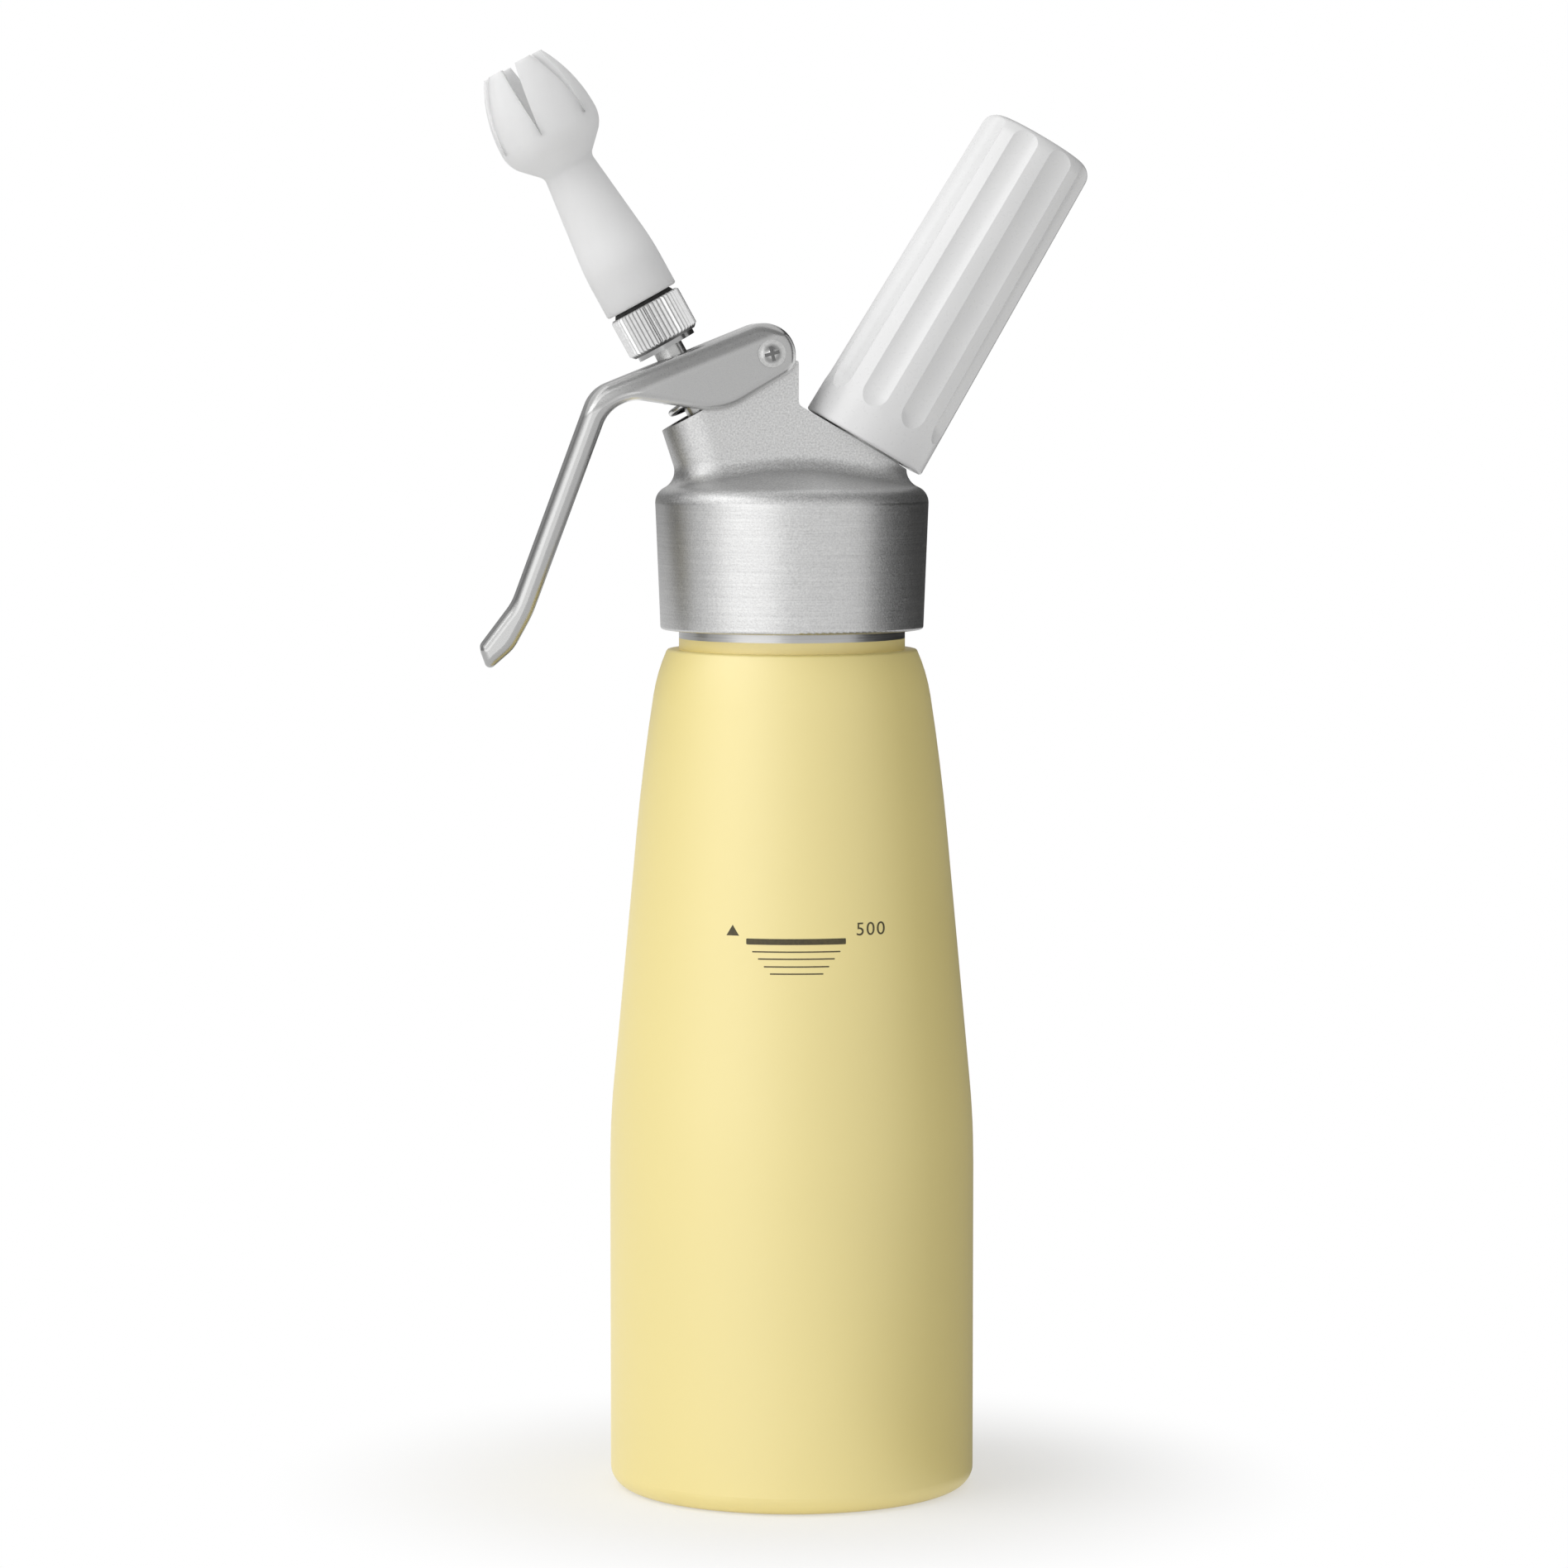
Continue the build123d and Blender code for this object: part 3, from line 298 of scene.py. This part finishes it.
bpy.ops.mesh.primitive_plane_add(size=8.0)
floor = bpy.context.object
floor.name = "studio_floor"
paper, paper_shader = start_finish("white_paper")
tree = paper.node_tree
fill_in(tree, paper_shader, Base_Color=(*grey(0.9), 1), Roughness=0.9, Specular_IOR_Level=0.1)
reach = vector_math(tree, "LENGTH", object_place(tree))
far_away = mix_values(tree, fade_in(tree, reach, SHADOW_NEAR, SHADOW_FAR), NEAR_SHARE, 1.0)
share = calculate(tree, "MULTIPLY", far_away, seen_directly(tree))
white = add_node(tree, "ShaderNodeEmission", Color=(1, 1, 1, 1), Strength=1.0)
blend_shaders(tree, share, paper_shader.outputs["BSDF"], white.outputs["Emission"], "Material Output")
floor.data.materials.append(paper)
print("floor is plain white from", round(SHADOW_FAR / MM), "mm outwards")

# %% [markdown]
# ## Background
# The world is plain white for the camera and for reflections as well. As a light it would then wash out
# all shading. So it has a second, weaker strength for the light that falls on surfaces, and the softboxes
# do the rest.

# %% Colour the world
AMBIENT = 0.61
BACKDROP = 1.0
world = bpy.data.worlds.new("studio_world")
bpy.context.scene.world = world
world.use_nodes = True
tree = world.node_tree
ambient = tree.nodes["Background"]
fill_in(tree, ambient, Color=(1, 1, 1, 1), Strength=AMBIENT)
backdrop = add_node(tree, "ShaderNodeBackground", Color=(1, 1, 1, 1), Strength=BACKDROP)
seen = seen_directly(tree)
blend_shaders(tree, seen, ambient.outputs["Background"], backdrop.outputs["Background"], "World Output")
bpy.context.scene.view_settings.view_transform = "Standard"
print("world strength for light:", AMBIENT, "and for the camera:", BACKDROP)

# %% [markdown]
# ## Grey cards
# Metal on white only reads as metal when it has something darker to mirror, and no lamp can give that.
# A photographer stands cards round the object, out of the picture. Here each card has an even grey
# level of its own. The right card darkens that side of the metal, the low card and the floor card darken
# what the foot of the bottle mirrors on the right, and the left and the ceiling card do it for the
# lever. They are hidden from the camera and throw no shadow, so they never stand in another view's way.

# %% Stand the cards round the bottle
CARDS = (
    # name, middle in metres, width, height, direction it faces, grey level
    ("right_card", (0.62, 0.31, 0.65), 1.84, 1.3, (-0.88, -0.47, 0), 0.04),
    ("low_card", (0.115, 0.08, 0.05), 0.3, 0.1, (-0.82, -0.57, 0), 0.15),
    ("floor_card", (0.15, 0.06, 0.0015), 0.22, 0.36, (0, 0, 1), 0.15),
    ("left_card", (-0.46, 0.39, 0.305), 1.43, 0.28, (0.76, -0.64, 0), 0.3),
    ("ceiling_card", (0, -0.6, 1.1), 1.8, 1.2, (0, 0, -1), 0.35),
)


def card(name, middle, width, height, facing, level):
    """Card of an even grey level, hidden from the camera."""
    bpy.ops.mesh.primitive_plane_add(size=1.0, location=middle)
    sheet = bpy.context.object
    sheet.name = name
    sheet.scale = (width, height, 1)
    sheet.rotation_euler = Vector(facing).to_track_quat("Z", "Y").to_euler()
    board, board_shader = start_finish(name + "_board")
    fill_in(board.node_tree, board_shader, Base_Color=(0, 0, 0, 1), Specular_IOR_Level=0.0)
    fill_in(board.node_tree, board_shader, Emission_Color=(1, 1, 1, 1), Emission_Strength=level)
    sheet.data.materials.append(board)
    sheet.visible_camera = False
    sheet.visible_diffuse = False
    sheet.visible_shadow = False


for row in CARDS:
    card(*row)

# %% [markdown]
# ## Where the bottle is painted
# The bottle is spun aluminium with a matte pastel coat. The coat stops just below the skirt, where a
# narrow ring of bare neck shows, and the inside is bare as well. Two materials on two groups of faces
# would need an edge of the mesh at the border. Here a height says where the coat ends, and a normal that
# points away from the bottle's middle marks the outside.

# %% Find the coat
PAINT_END = 183.6 * MM
BOTTLE_MIDDLE = Vector((0, 0, 90)) * MM
coat, coat_shader = start_finish("pastel_coat")
tree = coat.node_tree
place = object_place(tree)
below_end = calculate(tree, "LESS_THAN", split_axes(tree, place)["Z"], PAINT_END)
outwards = vector_math(tree, "SUBTRACT", place, BOTTLE_MIDDLE)
normal = add_node(tree, "ShaderNodeNewGeometry").outputs["Normal"]
facing = vector_math(tree, "DOT_PRODUCT", normal, outwards)
outside = calculate(tree, "GREATER_THAN", facing, 0.0)
painted = calculate(tree, "MULTIPLY", below_end, outside)
print("coat ends at", round(PAINT_END / MM, 1), "mm")

# %% [markdown]
# ## Coat and bare metal
# The coat looks like a strong yellow under a white veil, and the veil is strongest towards the lamps. A
# pale yellow alone would stay pale on the dark side too. So a saturated base lies under a rough clear
# layer that reflects a lot. Sprayed paint also has a fine orange peel, which is a bump here, because real
# dents of a few microns would make a huge mesh. The bare metal has level lines from turning.

# %% Colour the bottle
cloud = grain(tree, place, scale=28.0, detail=3.0)
coat_colour = tint(tree, cloud, (0.86, 0.67, 0.06), (0.885, 0.69, 0.065))
peel = grain(tree, place, scale=900.0)
fine_peel = grain(tree, place, scale=2600.0, detail=1.0)
level_stretch = object_place(tree, scale=(40, 40, 4000))
turning = grain(tree, level_stretch, scale=1.0)
metal_colour = tint(tree, turning, grey(0.39), (0.50, 0.50, 0.495))
coat_rough = spread(tree, peel, 0.46, 0.56)
metal_rough = spread(tree, turning, 0.26, 0.38)
fill_in(
    tree,
    coat_shader,
    Base_Color=mix_colours(tree, painted, metal_colour, coat_colour),
    Roughness=mix_values(tree, painted, metal_rough, coat_rough),
    Metallic=calculate(tree, "SUBTRACT", 1.0, painted),
    Specular_IOR_Level=1.0,
    Coat_Weight=painted,
    Coat_IOR=4.0,
    Coat_Roughness=0.7,
    Normal=relief(tree, fine_peel, 4 * MICRON, relief(tree, peel, 10 * MICRON)),
)
dress(coat, "bottle")

# %% [markdown]
# ## Cast head
# The head is cast aluminium, blasted with fine beads and then turned on the skirt. Blasting leaves a
# sparkle of tiny dents, turning leaves fine level lines. Displacing the mesh would need millions of
# faces, so both are a bump with a matching mottle in the colour. The lines belong to the skirt alone, so
# a height switches them on there.

# %% Blasted and turned aluminium
TURNED_TOP = 213.0 * MM
LINES_IN_COLOUR = 0.35
cast, cast_shader = start_finish("blasted_aluminium")
tree = cast.node_tree
place = object_place(tree)
on_skirt = calculate(tree, "LESS_THAN", split_axes(tree, place)["Z"], TURNED_TOP)
dents = grain(tree, place, scale=2600.0, roughness=0.6)
level_stretch = object_place(tree, scale=(60, 60, 3600))
lines = grain(tree, level_stretch, scale=1.0, detail=3.0, roughness=0.6)
mottle = mix_values(tree, calculate(tree, "MULTIPLY", on_skirt, LINES_IN_COLOUR), dents, lines)
blasted_rough = spread(tree, dents, 0.44, 0.54)
turned_rough = spread(tree, dents, 0.34, 0.44)
skirt_lines = calculate(tree, "MULTIPLY", lines, on_skirt)
fill_in(
    tree,
    cast_shader,
    Base_Color=tint(tree, mottle, grey(0.46), (0.72, 0.72, 0.715)),
    Metallic=1.0,
    Roughness=mix_values(tree, on_skirt, blasted_rough, turned_rough),
    Normal=relief(tree, skirt_lines, 7 * MICRON, relief(tree, dents, 28 * MICRON)),
)
dress(cast, "head_body")

# %% [markdown]
# ## Where the lever gets a painted highlight
# The lever is the same casting, tumbled smooth. Its lower edges mirror the darker head and floor below,
# so the colour of the arm is painted bright along the lower and right-hand edges as a painted highlight.
# A mask could be painted by hand, but the surface knows its edges itself: there the normal leaves the
# flat side and turns down and to the right. The handle is left out by its place.

# %% Find the edges that get a painted highlight
FLAT_SIDE = (0.55, 0.97)
TURNED_DOWN = (-0.35, 0.1)
TURNED_RIGHT = (-0.3, 0.1)
HANDLE_END = -37.0 * MM
HANDLE_BLEND = 3.0 * MM
tumbled, tumbled_shader = start_finish("tumbled_aluminium")
tree = tumbled.node_tree
place = object_place(tree)
normal = split_axes(tree, add_node(tree, "ShaderNodeNewGeometry").outputs["Normal"])
sideways = calculate(tree, "ABSOLUTE", normal["Y"])
# Share of painted highlight, led by the direction of the normal.
painted_highlight = calculate(tree, "SUBTRACT", 1.0, fade_in(tree, sideways, *FLAT_SIDE))
downwards = calculate(tree, "MULTIPLY", normal["Z"], -1.0)
along = split_axes(tree, place)["X"]
shares = (
    fade_in(tree, downwards, *TURNED_DOWN),
    fade_in(tree, normal["X"], *TURNED_RIGHT),
    fade_in(tree, along, HANDLE_END - HANDLE_BLEND, HANDLE_END + HANDLE_BLEND),
)
for share in shares:
    painted_highlight = calculate(tree, "MULTIPLY", painted_highlight, share)
print("worn edges start at x =", round(HANDLE_END / MM), "mm")

# %% [markdown]
# ## The lever's finish
# Tumbling rounds off the upper edge, so that its highlight is wide and soft. The solid has a round there
# already. A larger one would change the lever's outline, so a bump that falls off over a few millimetres
# below the top widens the highlight instead. Two weak noises give the slow waves and the fine grain of
# tumbled metal.

# %% Tumbled aluminium
LEVER_PIVOT = Vector((-5.075, 0, 244.467)) * MM
LEVER_SLOPE = math.radians(22)
LEVER_UP = Vector((-math.sin(LEVER_SLOPE), 0, math.cos(LEVER_SLOPE)))
LEVER_TOP = 7.1 * MM
SHOULDER_START = LEVER_TOP - 0.4 * MM
SHOULDER_END = LEVER_TOP - 4.6 * MM
SHOULDER_DEPTH = 1.2 * MM
# Painted highlight: the colour of the arm's lower and right-hand edges.
HIGHLIGHT_COLOUR = (0.92, 0.92, 0.915, 1)
from_pivot = vector_math(tree, "SUBTRACT", place, LEVER_PIVOT)
rise = vector_math(tree, "DOT_PRODUCT", from_pivot, LEVER_UP)
shoulder = relief(tree, fade_in(tree, rise, SHOULDER_START, SHOULDER_END), SHOULDER_DEPTH)
waves = relief(tree, grain(tree, place, scale=160.0), 6 * MICRON, shoulder)
speck = grain(tree, place, scale=3200.0, roughness=0.6)
plain_colour = tint(tree, speck, grey(0.42), (0.45, 0.45, 0.445))
fill_in(
    tree,
    tumbled_shader,
    Base_Color=mix_colours(tree, painted_highlight, plain_colour, HIGHLIGHT_COLOUR),
    Metallic=1.0,
    Roughness=spread(tree, speck, 0.27, 0.31),
    Normal=relief(tree, speck, 2 * MICRON, waves),
)
dress(tumbled, "lever")

# %% [markdown]
# ## Bright metal
# Stem, collar and the other small turned pieces are plain bright metal. A perfect mirror would look like
# glass here. Faint marks in the colour, the roughness and the bump keep them metal. One function makes
# all the bright finishes, and it can paint shade onto the places that another function points out.

# %% Turned steel, spring steel and brass
def bright_finish(name, dark, light, rough, painted_shade=None, shade_level=0.16):
    """Bright metal with faint marks, and painted shade where a function of the place says so."""
    finish, shader = start_finish(name)
    tree = finish.node_tree
    place = object_place(tree)
    marks = grain(tree, place, scale=1800.0, detail=3.0, roughness=0.6)
    colour = tint(tree, marks, dark, light)
    if painted_shade is not None:
        # Painted shade: the colour turns darker where the shade function of the place points.
        colour = mix_colours(tree, painted_shade(tree, place), colour, (*grey(shade_level), 1))
    fill_in(
        tree,
        shader,
        Base_Color=colour,
        Metallic=1.0,
        Roughness=spread(tree, marks, *rough),
        Normal=relief(tree, marks, 3 * MICRON),
    )
    return finish


STEEL = {"dark": (0.46, 0.46, 0.455), "light": (0.58, 0.58, 0.575)}
turned = bright_finish("turned_steel", **STEEL, rough=(0.22, 0.34))
spring_steel = bright_finish("spring_steel", grey(0.66), grey(0.78), rough=(0.2, 0.3))
brass = bright_finish("turned_brass", (0.60, 0.42, 0.16), (0.68, 0.50, 0.22), rough=(0.24, 0.36))
dress(turned, "pivot_barrel", "valve_stem", "spring_collar", "collar_clip", "gas_charger", "piercing_pin")
dress(brass, "pin_carrier")

# %% [markdown]
# ## Pivot screw
# Hardly any light gets into the cross of the screw. The cross is cut into the solid, but under soft
# light its walls mirror the same white as the crown. So the finish paints shade onto every point that
# lies deeper than the crown's dome: the slot, the cross and the rim.

# %% Screw with a dark cross
SCREW_DOME_RADIUS = 4.85 * MM
RECESS_START = 0.08 * MM
RECESS_END = 0.3 * MM


def screw_recess_shade(tree, place):
    """Share of painted shade: one where a point lies below the screw's domed crown, in the slot, the
    cross and the rim.
    """
    low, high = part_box("pivot_screw")
    crown = ((low.x + high.x) / 2, low.y, (low.z + high.z) / 2)
    axes = split_axes(tree, vector_math(tree, "SUBTRACT", place, crown))
    across = calculate(tree, "MULTIPLY", axes["X"], axes["X"])
    upwards = calculate(tree, "MULTIPLY", axes["Z"], axes["Z"])
    dome = calculate(tree, "DIVIDE", calculate(tree, "ADD", across, upwards), 2 * SCREW_DOME_RADIUS)
    return fade_in(tree, calculate(tree, "SUBTRACT", axes["Y"], dome), RECESS_START, RECESS_END)


# The screw's slot, cross and rim get painted shade.
screw_steel = bright_finish("screw_steel", **STEEL, rough=(0.2, 0.3), painted_shade=screw_recess_shade)
dress(screw_steel, "pivot_screw")

# %% [markdown]
# ## Knurled nut
# The nut below the nozzle is plated, and its grooves get painted shade, so that they look darker than
# its ridges. A groove is simply nearer to the valve's slanted axis, so the distance from that axis says
# where the shade goes. That needs no mask and fits all grooves at once.

# %% Plated nut with dark grooves
VALVE_FOOT = Vector((-6.9, 0, 209.8)) * MM
VALVE_LEAN = math.radians(28.8)
VALVE_AXIS = Vector((-math.sin(VALVE_LEAN), 0, math.cos(VALVE_LEAN)))
NUT_RIDGE = 7.84 * MM
NUT_GROOVE = 7.66 * MM


def nut_groove_shade(tree, place):
    """Share of painted shade: one at the bottom of the nut's grooves, zero on its ridges."""
    from_foot = vector_math(tree, "SUBTRACT", place, VALVE_FOOT)
    off_axis = vector_math(tree, "CROSS_PRODUCT", from_foot, VALVE_AXIS)
    return fade_in(tree, vector_math(tree, "LENGTH", off_axis), NUT_RIDGE, NUT_GROOVE)


# The nut's grooves get painted shade.
plated = bright_finish(
    "bright_plating", grey(0.68), grey(0.80), rough=(0.16, 0.26), painted_shade=nut_groove_shade, shade_level=0.36
)
dress(plated, "nozzle_adapter")

# %% [markdown]
# ## White plastic and rubber
# The nozzle is matte white plastic, the holder is glossier with a faint texture, and the seals are black
# rubber. White plastic is never pure white: a value near 0.8 leaves room for highlights. Light goes
# through the nozzle's thin petals and softens its shadows. A translucent shader would show that too, but
# subsurface scattering also does it in the thick parts.

# %% Plastics and seals
GLOW_REACH = 7 * MM


def plastic_finish(name, dark, light, rough, texture_scale, texture_depth, glow=0.0):
    """Moulded plastic with a fine surface texture, and a glow of light that goes through thin walls."""
    finish, shader = start_finish(name)
    tree = finish.node_tree
    place = object_place(tree)
    texture = grain(tree, place, texture_scale)
    cloud = grain(tree, place, scale=60.0)
    fill_in(
        tree,
        shader,
        Base_Color=tint(tree, cloud, dark, light),
        Roughness=spread(tree, texture, *rough),
        Normal=relief(tree, texture, texture_depth),
        Subsurface_Weight=glow,
        Subsurface_Radius=(1, 1, 1),
        Subsurface_Scale=GLOW_REACH,
    )
    return finish


matte_texture = {"rough": (0.52, 0.62), "texture_scale": 1500.0, "texture_depth": 5 * MICRON}
gloss_texture = {"rough": (0.26, 0.34), "texture_scale": 1200.0, "texture_depth": 6 * MICRON}
rubber_texture = {"rough": (0.60, 0.75), "texture_scale": 2000.0, "texture_depth": 8 * MICRON}
matte_white = plastic_finish("matte_white_plastic", grey(0.83), grey(0.86), **matte_texture, glow=1.0)
gloss_white = plastic_finish("gloss_white_plastic", grey(0.76), grey(0.79), **gloss_texture)
seal_rubber = plastic_finish("seal_rubber", grey(0.018), grey(0.03), **rubber_texture)
dress(matte_white, "decorator_nozzle")
dress(gloss_white, "charger_holder")
SEALS = ("nozzle_washer", "head_gasket", "stem_oring", "seat_oring", "charger_gasket", "check_valve")
dress(seal_rubber, *SEALS)

# %% [markdown]
# ## Return spring
# One turn of the return spring shows under the lever. A curve with a bevel could draw it, but the Screw
# modifier needs no list of points: it sweeps a round section up and round in one go. Afterwards the end
# turns are drawn closer, as on a real compression spring, and the two ends of the wire are capped.

# %% Wind the spring
WIRE_RADIUS = 0.7 * MM
COIL_RADIUS = 6.0 * MM
COIL_TURNS = 4.5
COIL_RISE = 13.9 * MM
END_TIGHTNESS = 0.2
SECTION_POINTS = 20
COIL_STEPS = 144
FULL_TURN = 2 * math.pi
UPRIGHT = (math.pi / 2, 0, 0)


def apply_modifiers(piece):
    """Every modifier becomes part of the mesh."""
    bpy.context.view_layer.objects.active = piece
    for modifier in list(piece.modifiers):
        bpy.ops.object.modifier_apply(modifier=modifier.name)


def settle(piece):
    """Place, turn and size go into the mesh, and the object sits at the origin."""
    bpy.ops.object.select_all(action="DESELECT")
    piece.select_set(True)
    bpy.context.view_layer.objects.active = piece
    bpy.ops.object.transform_apply(location=True, rotation=True, scale=True)


bpy.ops.object.select_all(action="DESELECT")
bpy.ops.mesh.primitive_circle_add(
    vertices=SECTION_POINTS, radius=WIRE_RADIUS, location=(COIL_RADIUS, 0, 0), rotation=UPRIGHT
)
spring = bpy.context.object
spring.name = "valve_spring"
settle(spring)
winding = spring.modifiers.new("winding", "SCREW")
winding.axis = "Z"
winding.angle = FULL_TURN * COIL_TURNS
winding.screw_offset = COIL_RISE
winding.steps = COIL_STEPS
winding.render_steps = COIL_STEPS
winding.use_merge_vertices = False
apply_modifiers(spring)
for vertex in spring.data.vertices:
    wound = (vertex.index // SECTION_POINTS) / COIL_STEPS
    vertex.co.z -= COIL_RISE * END_TIGHTNESS * math.sin(FULL_TURN * wound) / FULL_TURN
bpy.ops.object.mode_set(mode="EDIT")
bpy.ops.mesh.select_all(action="SELECT")
bpy.ops.mesh.fill_holes(sides=0)
bpy.ops.mesh.select_all(action="SELECT")
bpy.ops.mesh.normals_make_consistent(inside=False)
bpy.ops.object.mode_set(mode="OBJECT")
print("spring faces:", len(spring.data.polygons))

# %% [markdown]
# ## The spring in place
# The spring leans with the valve, between its seat in the head and the collar, and moves with the head.
# On the real whipper it shortens when the lever is squeezed; here it keeps one length.

# %% Put the spring in place
COIL_START = math.radians(140.0)
COIL_LOW = 18.25 * MM
SMOOTH_ANGLE = math.radians(40)
spring.matrix_world = (
    Matrix.Translation(VALVE_FOOT)
    @ Matrix.Rotation(-VALVE_LEAN, 4, "Y")
    @ Matrix.Translation((0, 0, COIL_LOW))
    @ Matrix.Rotation(COIL_START, 4, "Z")
)
settle(spring)
bpy.ops.object.shade_smooth_by_angle(angle=SMOOTH_ANGLE)
spring.data.materials.append(spring_steel)
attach(spring, "head")
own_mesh(spring)
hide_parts("return_spring")

# %% [markdown]
# ## Ink
# The fill mark is printed on the coat in a dark olive ink. It could be a pattern in the coat's own
# material, but small letters need sharp outlines, so each mark is a thin piece of its own. Print is
# drawn flat in front of the bottle, pressed onto the paint by a Shrinkwrap modifier and given the
# thickness of ink by a Solidify modifier.

# %% Mix the ink
INK_THICKNESS = 0.05 * MM
INK_SUNK = 0.02 * MM
ink, ink_shader = start_finish("olive_ink")
tree = ink.node_tree
specks = grain(tree, object_place(tree), scale=1400.0)
ink_colour = tint(tree, specks, (0.052, 0.042, 0.014), (0.085, 0.070, 0.028))
fill_in(tree, ink_shader, Base_Color=ink_colour, Roughness=spread(tree, specks, 0.45, 0.6))


def press_on(piece):
    """Flat print is pressed back onto the bottle and given the thickness of ink."""
    wrap = piece.modifiers.new("wrap", "SHRINKWRAP")
    wrap.target = nodes["bottle"]
    wrap.wrap_method = "PROJECT"
    wrap.use_project_y = True
    wrap.use_positive_direction = True
    wrap.use_negative_direction = False
    wrap.offset = -INK_SUNK
    body = piece.modifiers.new("thickness", "SOLIDIFY")
    body.thickness = INK_THICKNESS
    body.offset = 1.0
    apply_modifiers(piece)
    piece.data.materials.append(ink)
    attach(piece, "bottle")
    print(piece.name, "faces:", len(piece.data.polygons))


print("ink thickness in mm:", round(INK_THICKNESS / MM, 2))

# %% [markdown]
# ## Fill bar and lines
# The mark is a bar with four lines below it that get shorter. Each starts as a plane with rounded
# corners. One flat face can't follow the round bottle, so it is cut into upright strips before it is
# pressed on. A subdivided plane would bend as well, but it would also cut where nothing bends.

# %% Print the bars
MARK_MIDDLE = -1.4
PRESS_FROM = -60.0
CORNER_STEPS = 4
FEWEST_STRIPS = 8
LINES = ((119.4, 18.5), (117.9, 16.1), (116.3, 13.7), (114.8, 11.2))


def bar(name, height, width, thickness, corner):
    """Level bar with rounded corners, in millimetres on the front of the bottle."""
    bpy.ops.object.select_all(action="DESELECT")
    bpy.ops.mesh.primitive_plane_add(size=1.0, rotation=UPRIGHT)
    piece = bpy.context.object
    piece.name = name
    piece.location = Vector((MARK_MIDDLE, PRESS_FROM, height)) * MM
    piece.scale = (width * MM, thickness * MM, 1)
    settle(piece)
    bpy.ops.object.mode_set(mode="EDIT")
    bpy.ops.mesh.select_all(action="SELECT")
    bpy.ops.mesh.bevel(offset=corner * MM, segments=CORNER_STEPS, affect="VERTICES")
    strips = max(FEWEST_STRIPS, round(width))
    for strip in range(1, strips):
        cut = (MARK_MIDDLE - width / 2 + width * strip / strips) * MM
        bpy.ops.mesh.select_all(action="SELECT")
        bpy.ops.mesh.bisect(plane_co=(cut, 0, 0), plane_no=(1, 0, 0))
    bpy.ops.object.mode_set(mode="OBJECT")
    press_on(piece)


bar("fill_bar", height=121.5, width=20.9, thickness=1.25, corner=0.2)
for place_in_row, (height, width) in enumerate(LINES, start=1):
    bar(f"fill_line_{place_in_row}", height, width, thickness=0.28, corner=0.1)

# %% [markdown]
# ## Number and pointer
# To the right of the bar stands a plain number of millilitres, to the left a small pointer. Drawing
# figures point by point is slow, so the number is a text object that becomes a mesh. The pointer is a
# circle with only three corners.

# %% Print the number and the pointer
NUMBER_CORNER = Vector((11.2, PRESS_FROM, 122.6)) * MM
NUMBER_SIZE = 3.9 * MM
POINTER_MIDDLE = Vector((-14.6, PRESS_FROM, 123.4)) * MM
POINTER_RADIUS = 1.5 * MM
bpy.ops.object.select_all(action="DESELECT")
bpy.ops.object.text_add(rotation=UPRIGHT)
figures = bpy.context.object
figures.name = "fill_number"
figures.data.body = "500"
figures.data.size = NUMBER_SIZE
figures.data.space_character = 1.15
figures.location = NUMBER_CORNER
bpy.ops.object.convert(target="MESH")
figures = bpy.context.object
settle(figures)
press_on(figures)

bpy.ops.object.select_all(action="DESELECT")
bpy.ops.mesh.primitive_circle_add(vertices=3, radius=POINTER_RADIUS, fill_type="NGON", rotation=UPRIGHT)
pointer = bpy.context.object
pointer.name = "level_pointer"
pointer.location = POINTER_MIDDLE
settle(pointer)
press_on(pointer)
